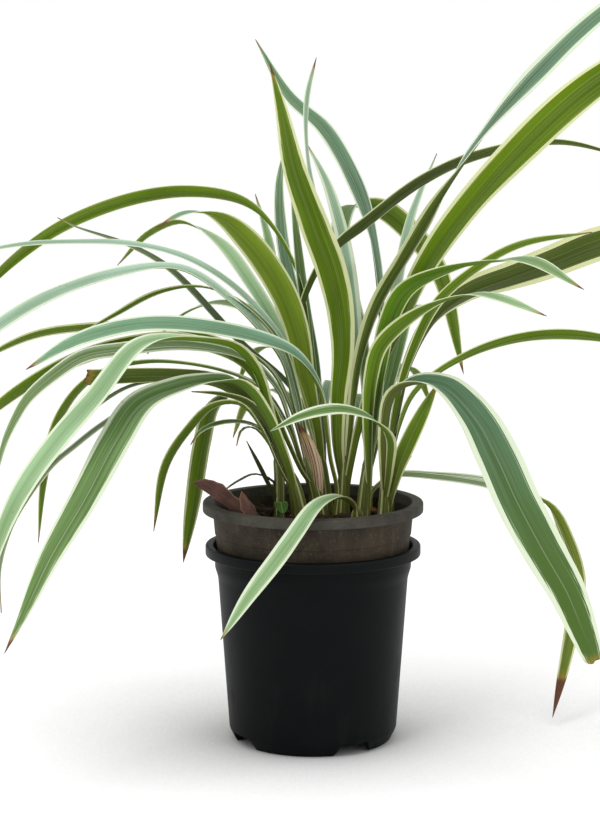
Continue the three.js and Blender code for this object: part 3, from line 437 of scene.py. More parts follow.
def add_leaf(mesh, crown, leaf, order, dice, radius):
    rise = leaf.get("rise", RISE)
    low = max(ROOT_MIN, rise - ROOT)
    path = Path(np.vstack([crown.at([low, rise]), leaf["via"]]))
    s = np.linspace(0, 1, max(12, round(path.length / STATION_GAP)) + 1)
    seed = dice.random()
    swing = np.sin(s * (5 + 4 * dice.random()) + 6 * dice.random())
    roll = keyed(leaf["roll"], s) + ROLL_SWING * swing * s
    easing = 1 - soft_step(s * path.length / FOLD_EASE)
    fold = BASE_FOLD + (TIP_FOLD - BASE_FOLD) * np.minimum(1, s / UNFOLDED_BY)
    fold = fold + (SOIL_FOLD - BASE_FOLD) * easing
    half = blade_width(leaf, s) / 2
    across, top = blade_frames(path, roll, s)
    stand_off = radius * STAND_OFF[order]
    centre = path.at(s) + path.heading * (stand_off * easing)[:, None]
    # A sheath below a blade that starts above the soil, folded round the crown.
    soil_share = np.interp(SOIL_TOP - 3, crown.at(CROWN_SHARES)[:, 2], CROWN_SHARES)
    if low > soil_share + LEAST_SHEATH and leaf["tone"] != "dead":
        steps = max(3, round((low - soil_share) * crown.length / STATION_GAP))
        r = np.linspace(soil_share, low, steps, endpoint=False)
        below = (low - r) / (low - soil_share)
        lead = crown.tangent(r)
        side = np.broadcast_to(across[0], lead.shape)
        side = unit(side - (side * lead).sum(-1, keepdims=True) * lead)
        travel = -below * (low - soil_share) * crown.length / path.length
        s = np.concatenate([travel, s])
        centre = np.vstack([crown.at(r) + path.heading * stand_off, centre])
        across = np.vstack([side, across])
        top = np.vstack([unit(np.cross(side, lead)), top])
        fold = np.concatenate([np.full(steps, fold[0]), fold])
        half = np.concatenate([half[0] * (1 + SHEATH_FLARE * below), half])
    add_blade(mesh, leaf, path, dice, s, centre, across, top, half, fold, seed)


def add_crown(mesh, crown, radius, seed):
    """The pale core that the sheaths wrap."""
    s = np.linspace(0.02, 1, CROWN_RINGS)
    turn = circle(CROWN_AROUND)
    closed = soft_step((s - CORE_CLOSES_FROM) / (1 - CORE_CLOSES_FROM)) * CORE_CLOSING
    size = CORE_SIZE * (radius + (CROWN_TOP_RADIUS - radius) * s)
    size = (size * (1 - closed))[:, None]
    ring = np.stack([np.cos(turn), np.sin(turn), 0 * turn], -1)
    place = (turn / (2 * math.pi) * CROWN_SHEATHS + seed) % 1
    sheath = 2 * math.pi * size / CROWN_SHEATHS
    dots = crown.at(s)[:, None] + (size * (0.95 + SHEATH_LAP * place))[..., None] * ring[None]
    lateral = sheath * (place - 0.5)
    run = np.broadcast_to((s * crown.length - CROWN_SUNK)[:, None], lateral.shape)
    blade = rows(lateral, run, 0 * run + FAR_TIP)
    look = rows(sheath / 2 - np.abs(lateral), 0 * run + CORE_UNDER, 0 * run + seed)
    tone = np.broadcast_to([TONES["green"][0], CORE_MARGIN, 0.0], look.shape)
    mesh.add(dots, swept_faces(CROWN_RINGS, CROWN_AROUND), blade, look, tone)


def make_shoot(name, shoot, material, dice):
    mesh = Mesh()
    crown = Path(points(shoot["crown"]))
    radius = shoot.get("radius", CROWN_RADIUS)
    add_crown(mesh, crown, radius, dice.random())
    for k, leaf in enumerate(shoot["leaves"]):
        add_leaf(mesh, crown, leaf, k % len(STAND_OFF), dice, radius)
    piece = mesh.made(name + "_leaves", material)
    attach(piece, "root")
    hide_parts(name)


# ---- Materials ----
class Value:
    """An output in a material's graph, with the usual sums."""

    def __init__(self, graph, socket):
        self.graph, self.socket = graph, socket

    def math(self, operation, a, b=0.0):
        return self.graph.value("Math", {0: a, 1: b}, operation=operation)

    def __add__(self, other):
        return self.math("ADD", self, other)

    def __sub__(self, other):
        return self.math("SUBTRACT", self, other)

    def __rsub__(self, other):
        return self.math("SUBTRACT", other, self)

    def __mul__(self, other):
        return self.math("MULTIPLY", self, other)

    def __truediv__(self, other):
        return self.math("DIVIDE", self, other)

    def __abs__(self):
        return self.math("ABSOLUTE", self)

    def most(self, other):
        return self.math("MAXIMUM", self, other)

    def step(self, low, high):
        """0 below low and 1 above high, or falling where low is above high."""
        if low > high:
            return 1 - self.step(high, low)
        return self.graph.value("MapRange", {0: self, 1: low, 2: high}, interpolation_type="SMOOTHSTEP")


class Graph:
    """A material's nodes, with short calls for the usual ones. Colours of three are screen colours,
    0 to 255, and colours of four are linear."""

    def __init__(self, name):
        self.material = bpy.data.materials.new(name)
        self.material.use_nodes = True
        self.tree = self.material.node_tree

    def value(self, kind, inputs=(), output=0, **settings):
        made = self.tree.nodes.new("ShaderNode" + kind)
        for key, setting in settings.items():
            setattr(made, key, setting)
        for key, given in dict(inputs).items():
            self.put(made.inputs[key], given)
        return Value(self, made.outputs[output])

    def put(self, socket, given):
        if isinstance(given, Value):
            self.tree.links.new(given.socket, socket)
        elif isinstance(given, tuple) and len(given) == 3 and socket.type == "RGBA":
            socket.default_value = (*linear(given), 1)
        else:
            socket.default_value = given

    def mix(self, factor, first, second, blend="MIX"):
        return self.value("Mix", {0: factor, 6: first, 7: second}, 2, data_type="RGBA", blend_type=blend)

    def parts(self, place):
        first = self.value("SeparateXYZ", {0: place})
        return [Value(self, output) for output in first.socket.node.outputs]

    def split(self, name):
        return self.parts(self.value("Attribute", output="Vector", attribute_name=name))

    def at(self, place):
        """A place given as three values, or as it is."""
        return self.value("CombineXYZ", dict(enumerate(place))) if isinstance(place, tuple) else place

    def noise(self, place, scale=1.0, detail=2.0, roughness=0.5):
        inputs = {"Vector": self.at(place), "Scale": scale, "Detail": detail, "Roughness": roughness}
        return self.value("TexNoise", inputs, "Fac")

    def spots(self, place, scale=1.0):
        return self.value("TexVoronoi", {"Vector": self.at(place), "Scale": scale}, "Distance")

    def place(self):
        """The object's own coordinates, in metres."""
        return self.value("TexCoord", output="Object")

    def scaled(self, place, *factors):
        return self.value("Mapping", {0: place, 3: factors})

    def bump(self, height, strength, distance, below=None):
        inputs = {"Height": height, "Strength": strength, "Distance": distance}
        if below is not None:
            inputs["Normal"] = below
        return self.value("Bump", inputs)

    def finish(self, base, rough, specular, **more):
        shader = self.tree.nodes["Principled BSDF"]
        sockets = dict(Base_Color=base, Roughness=rough, Specular_IOR_Level=specular, **more)
        for key, given in sockets.items():
            self.put(shader.inputs[key.replace("_", " ")], given)
        return self.material


def linear(screen):
    """Linear light of a colour given as it shows on a screen, 0 to 255."""
    shares = [v / 255 for v in screen]
    return [v / 12.92 if v <= 0.04045 else ((v + 0.055) / 1.055) ** 2.4 for v in shares]


# The cream below is yellower as painted light shining through the margin.
CREAM, CREAM_UNDER = (206, 216, 190), (214, 218, 166)


def toned(g, tone, side):
    """The colour of each tone, on side 0 above or 1 below."""
    made = g.value("ValToRGB", {"Fac": tone})
    ramp = made.socket.node.color_ramp
    stops = list(TONES.values())
    for position, *_ in stops[1:-1]:
        ramp.elements.new(position)
    for element, (position, *colours) in zip(ramp.elements, stops):
        element.position = position
        element.color = (*linear(colours[side]), 1)
    return made


def leaf_material():
    g = Graph("variegated_leaf")
    lateral, run, left = g.split("blade")
    edge, under, seed = g.split("leaf")
    tone, margin, brown = g.split("tone")
    mark = g.split("mark")[0]
    shift = seed * 91
    broad = g.noise((lateral * 0.05, run * 0.012, shift))
    streak = g.noise((lateral * 1.3, run * 0.006, shift), 1, 3, 0.6)
    hair = g.noise((lateral * 4.5, run * 0.02, shift))
    uneven = g.noise((lateral.step(-0.3, 0.3) * 7.3, run * 0.004, shift), 1, 1)
    from_rib = abs(lateral)
    half = edge + from_rib

    # Green: cool above with a painted bluish sheen and olive below with painted shade, darkest beside the
    # midrib as painted shade in the fold, with long soft streaks.
    green = g.mix(under, toned(g, tone, 0), toned(g, tone, 1))
    deep = g.mix(0.8, green, (134, 146, 92), "MULTIPLY")
    light = g.mix(0.24, green, CREAM)
    warm = g.mix(0.7, green, (104, 130, 46))
    faint = 1 - under * 0.6
    # Painted shade: the green darkens towards the midrib, in the fold of the blade.
    green = g.mix((from_rib / half).step(0.55, 0.05) * 0.5, green, deep)
    green = g.mix(broad.step(0.35, 0.7) * 0.5, green, deep)
    green = g.mix(streak.step(0.42, 0.68) * 0.5 * faint, green, light)
    green = g.mix(left.step(190, 20) * 0.25, green, warm)
    bluish = tone.step(0.025, 0.01)
    green = g.mix(left.step(300, 40) * bluish * 0.95, green, (70, 96, 34))
    green = g.mix(hair.step(0.4, 0.75) * 0.22, green, deep)

    # Cream margins, a thin second line inside them, pale streaks and the midrib.
    cream = g.mix(under, CREAM, CREAM_UNDER)
    cream = g.mix(hair.step(0.35, 0.8) * 0.18, cream, green)
    alive, leafy = tone.step(0.98, 0.94), tone.step(0.88, 0.82)
    band = margin * half * (uneven * 1.3 + 0.35)
    inside = edge - (band + (streak - 0.5) * 0.9 * band)
    second = abs(inside - 0.9).step(0.4, 0.1) * streak.step(0.46, 0.6) * faint
    lines = g.noise((lateral * 0.8, run * 0.003, shift + 5), 1, 1).step(0.62, 0.7)
    striped = abs(tone - TONES["striped"][0]).step(0.06, 0.02)
    lines = lines * (striped * 0.85).most(faint * 0.15)
    rib = from_rib.step(0.7, 0.2) * left.step(8, 70) * faint * 0.15
    pale = inside.step(0.3, -0.3).most(second * 0.5).most(lines).most(rib)
    colours = g.mix(pale * leafy, green, cream)

    # Bases are dull olive, darkened further as painted shade in the crowded heart of the plant, and brown
    # at the soil. A sheath that died has red-brown lines.
    dull = g.mix(pale * 0.75, g.mix(hair, (94, 94, 36), (62, 64, 22)), (176, 172, 116))
    colours = g.mix(run.step(105, 5) * leafy * 0.8, colours, dull)
    colours = g.mix(run.step(16, -8) * alive * 0.35, colours, (88, 68, 44))
    reddish = streak.step(0.52, 0.56) * (alive - leafy)
    colours = g.mix(reddish * 0.85, colours, (88, 34, 28))

    # Each tip is dry and brown behind a yellowed zone, and marks and specks are brown.
    ragged = left + (0.5 - streak) * 12 - edge.step(1.2, 0) * 2 - brown
    halo, dry = ragged.step(11, 0), ragged.step(2, -2.5)
    colours = g.mix(halo * 0.6 * alive, colours, (150, 122, 52))
    colours = g.mix(dry * alive, colours, g.mix(hair, (122, 82, 58), (66, 42, 34)))
    specks = g.spots((lateral * 0.16, run * 0.05, shift))
    speck = specks.step(0.08, 0.04) * broad.step(0.52, 0.6)
    bruise = (mark + (hair - 0.5) * 0.8).step(0.25, 0.6)
    colours = g.mix((speck * 0.6).most(bruise * 0.75), colours, (92, 66, 40))

    rough = under * 0.2 + (halo + streak) * 0.12 + 0.38
    normal = g.bump(hair, 0.25, 0.00025, g.bump(streak, 0.35, 0.0006))
    return g.finish(colours, rough, 0.1, Normal=normal)


def dry_material():
    g = Graph("dry_leaf")
    lateral, run, _ = g.split("blade")
    edge, under, seed = g.split("leaf")
    fibre = g.noise((lateral * 1.6, run * 0.05, seed), 1, 4, 0.6)
    patch = g.noise((lateral * 0.2, run * 0.08, seed), 1, 3)
    upper = g.mix(patch.step(0.35, 0.7), (54, 38, 32), (84, 62, 50))
    lower = g.mix(patch.step(0.35, 0.7), (96, 62, 54), (72, 46, 38))
    brown = g.mix(under, upper, lower)
    brown = g.mix(fibre.step(0.4, 0.7) * 0.6, brown, (44, 30, 24))
    brown = g.mix(edge.step(1.4, 0.2) * 0.5, brown, (132, 104, 78))
    normal = g.bump(fibre + patch * 2, 0.8, 0.0008)
    return g.finish(brown, 0.72, 0.3, Normal=normal)


def seedling_material():
    g = Graph("seedling_leaf")
    lateral, run, _ = g.split("blade")
    _, under, seed = g.split("leaf")
    veins = g.noise((lateral * 1.2, run * 0.25, seed), 1, 3)
    green = g.mix(under, (46, 78, 12), (70, 104, 34))
    green = g.mix(veins.step(0.4, 0.7) * 0.5, green, (30, 58, 10))
    green = g.mix(abs(lateral).step(0.5, 0.1) * 0.5, green, (116, 152, 70))
    normal = g.bump(veins, 0.5, 0.0005)
    return g.finish(green, 0.4, 0.45, Normal=normal)


def outer_pot_material():
    """Black moulded plastic, with fine grain, lighter sharp edges and streaks of dust low down."""
    g = Graph("black_plastic")
    place = g.place()
    height = g.parts(place)[2]
    grain = g.noise(place, 900, 3, 0.6)
    cloud = g.noise(place, 28, 4, 0.6)
    drip = g.noise(g.scaled(place, 1, 1, 0.14), 95, 4, 0.65)
    dust = drip.step(0.5, 0.72) * height.step(0.09, 0.012) * cloud.step(0.42, 0.62)
    ledge = g.value("NewGeometry", output="Pointiness").step(0.51, 0.56)
    base = g.mix(cloud.step(0.3, 0.75), (4, 6, 7), (8, 10, 11))
    base = g.mix(dust * 0.1, base, (72, 68, 64))
    # Sharp convex edges are made lighter.
    base = g.mix(ledge * 0.2, base, (56, 58, 60))
    lines = g.noise(g.scaled(place, 0.05, 0.05, 1), 420)
    normal = g.bump(grain, 0.22, 0.00012, g.bump(lines, 0.12, 0.0004))
    rough = cloud * 0.16 + dust * 0.3 + 0.4
    return g.finish(base, rough, 0.08, Normal=normal)


def inner_pot_material():
    """Old grey-brown plastic under a film of dried mud, with a cleaner, greyer rim that is also lighter as
    a painted highlight.
    """
    g = Graph("muddy_plastic")
    place = g.place()
    height = g.parts(place)[2]
    cloud = g.noise(place, 40, 5, 0.62)
    fine = g.noise(place, 420, 4, 0.65)
    drip = g.noise(g.scaled(place, 1, 1, 0.25), 120, 4, 0.6)
    wall = g.mix(cloud.step(0.32, 0.68), (38, 33, 25), (58, 50, 39))
    wall = g.mix(drip.step(0.5, 0.75) * 0.45, wall, (80, 70, 54))
    # The rim is greyer, and lighter as a painted highlight too.
    rim = g.mix(cloud.step(0.35, 0.7), (66, 64, 57), (48, 47, 42))
    base = g.mix(height.step(0.184, 0.1856), wall, rim)
    base = g.mix(fine.step(0.56, 0.7) * 0.4, base, (100, 88, 72))
    normal = g.bump(fine + cloud * 1.5, 0.35, 0.0004)
    return g.finish(base, fine * 0.25 + 0.62, 0.18, Normal=normal)


def soil_material():
    g = Graph("potting_soil")
    place = g.place()
    lump = g.noise(place, 90, 6, 0.7)
    fine = g.noise(place, 900, 3, 0.7)
    base = g.mix(lump.step(0.3, 0.72), (26, 19, 14), (60, 43, 30))
    base = g.mix(fine.step(0.55, 0.7) * 0.5, base, (84, 62, 42))
    normal = g.bump(g.spots(place, 420) + lump * 1.4, 1, 0.002)
    return g.finish(base, 0.95, 0.2, Normal=normal)


def bark_material():
    g = Graph("bark_chips")
    place = g.place()
    which = g.split("tone")[0]
    fibre = g.noise(g.scaled(place, 1, 1, 3), 420, 5, 0.7)
    dark = g.mix(fibre.step(0.35, 0.7), (30, 22, 17), (64, 46, 34))
    light = g.mix(fibre.step(0.35, 0.7), (92, 56, 30), (134, 88, 50))
    base = g.mix(which.step(0.72, 0.98), dark, light)
    normal = g.bump(fibre, 0.9, 0.001)
    return g.finish(base, 0.9, 0.2, Normal=normal)


def perlite_material():
    g = Graph("perlite")
    place = g.place()
    pits = g.noise(place, 1500, 3, 0.6)
    base = g.mix(pits.step(0.35, 0.7), (168, 160, 146), (226, 222, 212))
    normal = g.bump(pits, 0.6, 0.0004)
    return g.finish(base, 0.95, 0.2, Normal=normal)


# ---- Pots ----
SEGMENTS, SHARP = 192, 35
POT_HEIGHT, WALL = 158.0, 1.4
RIM_RADIUS, RIM_HEIGHT, RIM_INNER_RADIUS = 86.0, 8.0, 80.0
COLLAR_RADIUS, COLLAR_BOTTOM = 78.5, 140.0
SHOULDER_RADIUS, SHOULDER_BOTTOM = 76.0, 132.0
FOOT_HEIGHT, FOOT_RADIUS, FOOT_BOTTOM_RADIUS, FOOT_INNER_RADIUS = 9.0, 67.3, 62.6, 58.0
BASE_THICKNESS = 2.0
FOOT_COUNT, FOOT_TURN = 4, -105.0
NOTCH_TOP_WIDTH, NOTCH_BOTTOM_WIDTH, NOTCH_BEYOND = 24.0, 34.0, 4.0
DRAIN_RADIUS, DRAIN_CIRCLE, DRAIN_SIDES = 5.0, 40.0, 24
STICK_OUT = 34.5
INNER_RIM_RADIUS, INNER_RIM_INNER_RADIUS, INNER_RIM_HEIGHT = 88.0, 79.0, 7.7
INNER_NECK_RADIUS, INNER_STEP_RADIUS = 80.0, 78.4
INNER_STEP_BELOW_TOP, INNER_STEP_DEPTH = 25.5, 0.6
FIT_GAP = 0.3
INNER_TOP = POT_HEIGHT + STICK_OUT
INNER_FOOT_TOP = STICK_OUT + FOOT_HEIGHT
INNER_FLOOR_TOP = INNER_FOOT_TOP + BASE_THICKNESS
INNER_STEP = INNER_TOP - INNER_STEP_BELOW_TOP
WALL_SLOPE = (SHOULDER_RADIUS - FOOT_RADIUS) / (SHOULDER_BOTTOM - FOOT_HEIGHT)


def rounded(profile, radii):
    """The profile with each corner that has a radius turned into a small arc."""
    made = []
    for k, point in enumerate(profile):
        here, radius = np.array(point, float), radii.get(k)
        if not radius:
            made.append(here)
            continue
        back, ahead = np.array(profile[k - 1], float), np.array(profile[(k + 1) % len(profile)], float)
        start = here + (back - here) / np.linalg.norm(back - here) * radius
        end = here + (ahead - here) / np.linalg.norm(ahead - here) * radius
        made += [(1 - t) ** 2 * start + 2 * t * (1 - t) * here + t * t * end
                 for t in (0, 0.25, 0.5, 0.75, 1)]
    return made


def turned_rings(profile, turn):
    """A ring round the axis for each point of the profile."""
    return [(r * math.cos(a), r * math.sin(a), z) for r, z in profile for a in turn]


def capped_faces(rings, around):
    """Faces of a tube of rings, closed by two points on the axis that follow them."""
    faces = tube_faces(rings, around)
    first, last, top = rings * around, rings * around + 1, (rings - 1) * around
    for j in range(around):
        k = (j + 1) % around
        faces += [(first, k, j), (last, top + j, top + k)]
    return faces


def lathe(name, profile, material):
    """A closed turned body. The profile's first and last points lie on the axis."""
    mesh = Mesh()
    ends = [(0, 0, profile[0][1]), (0, 0, profile[-1][1])]
    mesh.add(turned_rings(profile[1:-1], circle(SEGMENTS)) + ends,
             capped_faces(len(profile) - 2, SEGMENTS))
    return mesh.made(name, material, SHARP)


def cut(piece, cutters):
    """Takes the cutters out of the piece, and removes them."""
    for cutter in cutters:
        change = piece.modifiers.new("cut", "BOOLEAN")
        change.object, change.operation, change.solver = cutter, "DIFFERENCE", "EXACT"
    graph = bpy.context.evaluated_depsgraph_get()
    made = bpy.data.meshes.new_from_object(piece.evaluated_get(graph))
    piece.modifiers.clear()
    piece.data = made
    made.shade_smooth()
    made.set_sharp_from_angle(angle=math.radians(SHARP))
    for cutter in cutters:
        bpy.data.objects.remove(cutter)


def cutter_between(name, dots, material):
    """A solid between two outlines, which are the first and the second half of the points."""
    mesh = Mesh()
    mesh.add(dots, swept_faces(2, len(dots) // 2))
    return mesh.made(name, material)


def feet_and_drains(piece, bottom, material):
    """Cuts the notches between the feet and the drain holes."""
    low, high = NOTCH_BOTTOM_WIDTH / 2, NOTCH_TOP_WIDTH / 2
    notch = [(-low, -1), (low, -1), (high, FOOT_HEIGHT), (-high, FOOT_HEIGHT)]
    reach = FOOT_RADIUS + NOTCH_BEYOND, FOOT_INNER_RADIUS - NOTCH_BEYOND
    hole = [(DRAIN_RADIUS * math.cos(a), DRAIN_RADIUS * math.sin(a)) for a in circle(DRAIN_SIDES)]
    heights = bottom + 2, bottom + 2 * FOOT_HEIGHT
    cutters = []
    for i in range(FOOT_COUNT):
        turn = math.radians(FOOT_TURN + (i + 0.5) * 360 / FOOT_COUNT)
        c, s = math.cos(turn), math.sin(turn)
        dots = [(x * s + y * c, y * s - x * c, z + bottom) for y in reach for x, z in notch]
        cutters.append(cutter_between("notch", dots, material))
        dots = [(DRAIN_CIRCLE * c + u, DRAIN_CIRCLE * s + v, z) for z in heights for u, v in hole]
        cutters.append(cutter_between("drain", dots, material))
    cut(piece, cutters)


def outer_wall(z):
    return FOOT_RADIUS + WALL_SLOPE * (z - FOOT_HEIGHT)


def inner_wall(z):
    return outer_wall(z) - WALL - FIT_GAP


def make_outer_pot(material):
    floor_top = FOOT_HEIGHT + BASE_THICKNESS
    rim_bottom = POT_HEIGHT - RIM_HEIGHT
    profile = [
        (0, FOOT_HEIGHT), (FOOT_INNER_RADIUS, FOOT_HEIGHT), (FOOT_INNER_RADIUS, 0),
        (FOOT_BOTTOM_RADIUS, 0), (FOOT_RADIUS, FOOT_HEIGHT), (SHOULDER_RADIUS, SHOULDER_BOTTOM),
        (COLLAR_RADIUS, COLLAR_BOTTOM), (COLLAR_RADIUS, rim_bottom), (RIM_RADIUS, rim_bottom),
        (RIM_RADIUS, POT_HEIGHT), (RIM_INNER_RADIUS, POT_HEIGHT), (COLLAR_RADIUS - WALL, rim_bottom),
        (COLLAR_RADIUS - WALL, COLLAR_BOTTOM + 1), (SHOULDER_RADIUS - WALL, SHOULDER_BOTTOM),
        (outer_wall(floor_top) - WALL, floor_top), (0, floor_top),
    ]
    radii = {3: 1.2, 4: 1.6, 5: 2.5, 6: 2.0, 7: 0.8, 8: 1.0, 9: 1.8, 10: 1.2, 11: 1.0}
    piece = lathe("outer_pot_shell", rounded(profile, radii), material)
    feet_and_drains(piece, 0, material)
    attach(piece, "root")
    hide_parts("outer_pot")


def make_inner_pot(material):
    rim_bottom = INNER_TOP - INNER_RIM_HEIGHT
    profile = [
        (0, INNER_FOOT_TOP), (FOOT_INNER_RADIUS, INNER_FOOT_TOP), (FOOT_INNER_RADIUS, STICK_OUT),
        (FOOT_BOTTOM_RADIUS, STICK_OUT), (inner_wall(INNER_FOOT_TOP), INNER_FOOT_TOP),
        (inner_wall(SHOULDER_BOTTOM), SHOULDER_BOTTOM),
        (INNER_STEP_RADIUS - INNER_STEP_DEPTH, INNER_STEP - 0.6), (INNER_STEP_RADIUS, INNER_STEP),
        (INNER_NECK_RADIUS, rim_bottom), (INNER_RIM_RADIUS, rim_bottom), (INNER_RIM_RADIUS, INNER_TOP),
        (INNER_RIM_INNER_RADIUS, INNER_TOP), (INNER_NECK_RADIUS - WALL - 1, rim_bottom - 2),
        (INNER_STEP_RADIUS - WALL - 1, INNER_STEP - 2),
        (inner_wall(SHOULDER_BOTTOM) - WALL, SHOULDER_BOTTOM),
        (inner_wall(INNER_FLOOR_TOP) - WALL, INNER_FLOOR_TOP), (0, INNER_FLOOR_TOP),
    ]
    radii = {8: 0.8, 9: 1.0, 10: 1.8, 11: 1.0, 12: 0.6}
    piece = lathe("inner_pot_shell", rounded(profile, radii), material)
    feet_and_drains(piece, STICK_OUT, material)
    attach(piece, "root")
    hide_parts("inner_pot")


# ---- Soil ----
SOIL_EDGE = INNER_STEP_RADIUS - WALL - 1 - FIT_GAP
SOIL_RINGS, SOIL_AROUND, SOIL_WAVE = 46, 150, 1.5
CRUMB_HEIGHT, SOIL_EDGE_DROP = 1.6, 0.8
STEMS = [points(shoot["crown"])[1][:2] for shoot in SHOOTS.values()]
LITTER_REACH, LITTER_SINK = 74, 0.3
LUMP_TILT, LUMP_SHAKE, LUMP_SQUARENESS = 0.9, 0.28, 0.6


def soil_height(x, y):
    long = math.sin(x / 11 + 0.6) * math.cos(y / 13 - 0.4)
    short = math.sin(x / 5.3 + y / 6.1 + 1.2)
    return SOIL_TOP + SOIL_WAVE * (0.65 * long + 0.35 * short)


def make_soil(material, dice):
    mesh = Mesh()
    turn = circle(SOIL_AROUND)
    dots = []
    for i in range(1, SOIL_RINGS + 1):
        for x, y, _ in turned_rings([(SOIL_EDGE * i / SOIL_RINGS, 0)], turn):
            crumb = (dice.random() - 0.5) * CRUMB_HEIGHT if i < SOIL_RINGS else -SOIL_EDGE_DROP
            dots.append((x, y, soil_height(x, y) + crumb))
    bottom = INNER_FLOOR_TOP + FIT_GAP
    wall = [(inner_wall(z) - WALL - FIT_GAP, z) for z in (SHOULDER_BOTTOM, bottom)]
    dots += turned_rings([(SOIL_EDGE, INNER_STEP - 2), *wall], turn)
    dots += [(0, 0, soil_height(0, 0)), (0, 0, bottom)]
    # These rings run from the top down, so their faces are turned over.
    faces = [(face[0], *face[:0:-1]) for face in capped_faces(SOIL_RINGS + 3, SOIL_AROUND)]
    mesh.add(dots, faces)
    piece = mesh.made("soil_bed", material, 180)
    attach(piece, "root")
    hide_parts("soil")


def scattered(name, material, dice, count, size, flatness, clear):
    """Many small irregular lumps that lie on the soil."""
    work = bmesh.new()
    bmesh.ops.create_icosphere(work, subdivisions=2, radius=1)
    ball = np.array([v.co[:] for v in work.verts])
    faces = [[v.index for v in f.verts] for f in work.faces]
    work.free()
    box = np.sign(ball) * np.abs(ball) ** LUMP_SQUARENESS
    mesh = Mesh()
    placed = 0
    while placed < count:
        r, a = LITTER_REACH * math.sqrt(dice.random()), dice.random() * 2 * math.pi
        x, y = r * math.cos(a), r * math.sin(a)
        if any(math.hypot(x - cx, y - cy) < clear for cx, cy in STEMS):
            continue
        long = size[0] + (size[1] - size[0]) * dice.random() ** 2
        wide = long * (0.45 + 0.35 * dice.random())
        tall = long * (flatness[0] + (flatness[1] - flatness[0]) * dice.random())
        shake = 1 + LUMP_SHAKE * (dice.random((len(ball), 1)) - 0.5)
        tilts = [(dice.random() - 0.5) * LUMP_TILT for _ in range(2)]
        spin = Euler((*tilts, dice.random() * 2 * math.pi)).to_matrix()
        body = (box * shake * [long / 2, wide / 2, tall / 2]) @ np.array(spin).T
        if np.hypot(body[:, 0] + x, body[:, 1] + y).max() > SOIL_EDGE - 0.5:
            continue
        z = soil_height(x, y) - body[:, 2].min() - LITTER_SINK * tall
        tone = np.broadcast_to([dice.random(), 0, 0], body.shape)
        mesh.add(body + [x, y, z], faces, tone=tone)
        placed += 1
    piece = mesh.made(name, material, 60)
    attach(piece, "root")


# ---- Litter and seedling ----
def make_dry_leaf(name, leaf, material, dice):
    mesh = Mesh()
    path = Path(leaf["via"])
    s = np.linspace(0, 1, 28)
    across, top = blade_frames(path, keyed(leaf["roll"], s) + 6 * np.sin(s * 9), s)
    half = blade_width(leaf, s) / 2 * (1 + 0.06 * np.sin(s * 23) + 0.04 * np.sin(s * 51 + 1))
    fold = leaf["fold"] + 5 * np.sin(s * 7)
    add_blade(mesh, leaf, path, dice, s, path.at(s), across, top, half, fold, dice.random())
    piece = mesh.made(name + "_curl", material)
    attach(piece, "root")
    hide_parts(name)


def add_stalk(mesh, through, radius, around=10):
    path = Path(through)
    s = np.linspace(0, 1, max(6, round(path.length / 2.5)))
    lead = path.tangent(s)
    side = unit(np.cross(lead, [0.3, 0.9, 0.31]))
    other = np.cross(lead, side)
    size = radius * np.interp(s, [0, 0.5, 1], [1, 1, 0.7])
    turn = circle(around)
    ring = side[:, None] * np.cos(turn)[None, :, None] + other[:, None] * np.sin(turn)[None, :, None]
    run = np.broadcast_to((s * path.length)[:, None], (len(s), around))
    mesh.add(path.at(s)[:, None] + size[:, None, None] * ring, swept_faces(len(s), around),
             rows(turn * size[:, None], run, 0 * run), rows(0 * run + 3, 0 * run, 0 * run))


def make_seedling(material, dice):
    mesh = Mesh()
    x, y, top_z = SEEDLING["x"], SEEDLING["y"], SEEDLING["stem_top"]
    add_stalk(mesh, [(x, y, SOIL_TOP - 8), (x, y, SOIL_TOP), (x + 0.4, y + 0.5, top_z)],
              SEEDLING["stem_radius"])
    path = Path([(x, y + 2, top_z - 2), (x + 2, y - 4, top_z + 1),
                 (x + 4, y - SEEDLING["leaf_length"], top_z - 6)])
    s = np.linspace(0, 1, 18)
    across, top = blade_frames(path, 0 * s, s)
    share = np.sin(math.pi * np.clip(s * 0.96 + 0.02, 0, 1)) ** 0.7
    half = SEEDLING["leaf_width"] / 2 * np.maximum(share, 0.06)
    add_blade(mesh, {}, path, dice, s, path.at(s), across, top, half, 0 * s + 8, 0.3)
    piece = mesh.made("seedling_plant", material)
    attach(piece, "root")
    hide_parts("seedling")


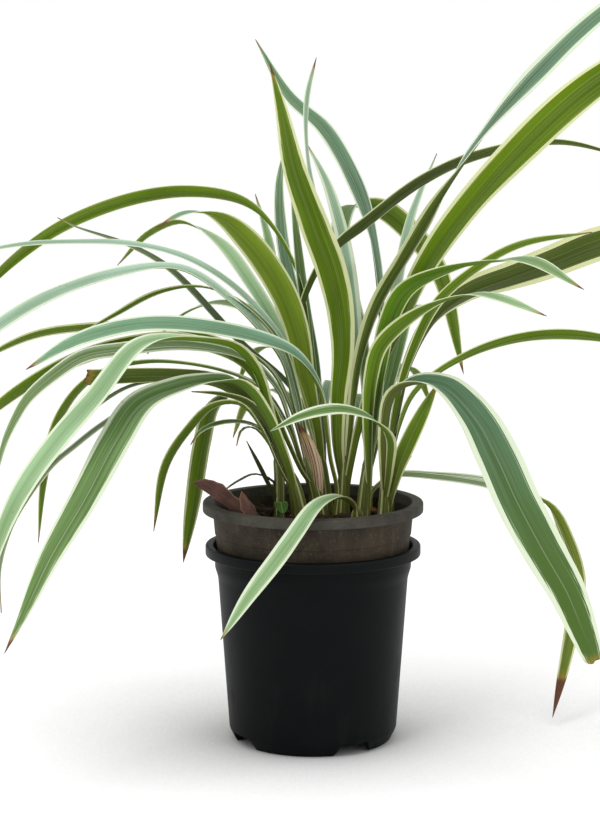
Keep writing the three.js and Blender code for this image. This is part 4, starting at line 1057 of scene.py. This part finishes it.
# ---- Stage and light ----
FLOOR_SIZE, FLOOR_DROP = 30.0, 0.0003  # metres
AIM = Vector((0, 0, 0.3))
LAMPS = (("key", (-1.1, -1.3, 2.4), 1.2, 26.0), ("fill", (1.9, -1.2, 1.3), 1.6, 8.0))


def make_stage():
    g = Graph("floor")
    faint = g.noise(g.place(), 3)
    # Deepens the soft shadow round the foot of the pot.
    near = g.value("AmbientOcclusion", {"Distance": 0.42}, "AO", samples=8)
    shade = near.step(0.35, 0.97)
    white = g.mix(faint, (0.78, 0.78, 0.78, 1), (0.8, 0.8, 0.8, 1))
    g.finish(g.mix(shade, (0.5, 0.5, 0.5, 1), white), 0.9, 0.0,
             Emission_Color=(1, 1, 1, 1), Emission_Strength=shade * 0.22)
    size = FLOOR_SIZE
    mesh = bpy.data.meshes.new("floor")
    mesh.from_pydata([(-size, -size, 0), (size, -size, 0), (size, size, 0), (-size, size, 0)], [],
                     [(0, 1, 2, 3)])
    mesh.materials.append(g.material)
    floor = added("floor", mesh)
    floor.location.z = -FLOOR_DROP


def make_lights():
    world = bpy.data.worlds.new("studio")
    world.use_nodes = True
    world.node_tree.nodes["Background"].inputs[0].default_value = (1, 1, 1, 1)
    world.node_tree.nodes["Background"].inputs[1].default_value = 1.0
    bpy.context.scene.world = world
    for name, place, size, power in LAMPS:
        data = bpy.data.lights.new(name, "AREA")
        data.shape, data.size, data.energy = "SQUARE", size, power
        lamp = added(name, data)
        lamp.location = place
        lamp.rotation_euler = (AIM - Vector(place)).to_track_quat("-Z", "Y").to_euler()


# ---- Build ----
bpy.context.scene.view_settings.view_transform = "Standard"
leaf_look = leaf_material()
dice = np.random.default_rng(7)
for shoot_name, shoot in SHOOTS.items():
    make_shoot(shoot_name, shoot, leaf_look, dice)
dry_look = dry_material()
for dry_name, dry_leaf in DRY_LEAVES.items():
    make_dry_leaf(dry_name, dry_leaf, dry_look, dice)
make_seedling(seedling_material(), dice)
make_outer_pot(outer_pot_material())
make_inner_pot(inner_pot_material())
make_soil(soil_material(), dice)
scattered("bark_chips", bark_material(), dice, 330, (4, 13), (0.22, 0.5), 8.5)
scattered("perlite_specks", perlite_material(), dice, 90, (1.2, 3.2), (0.6, 0.9), 8.0)
make_stage()
make_lights()
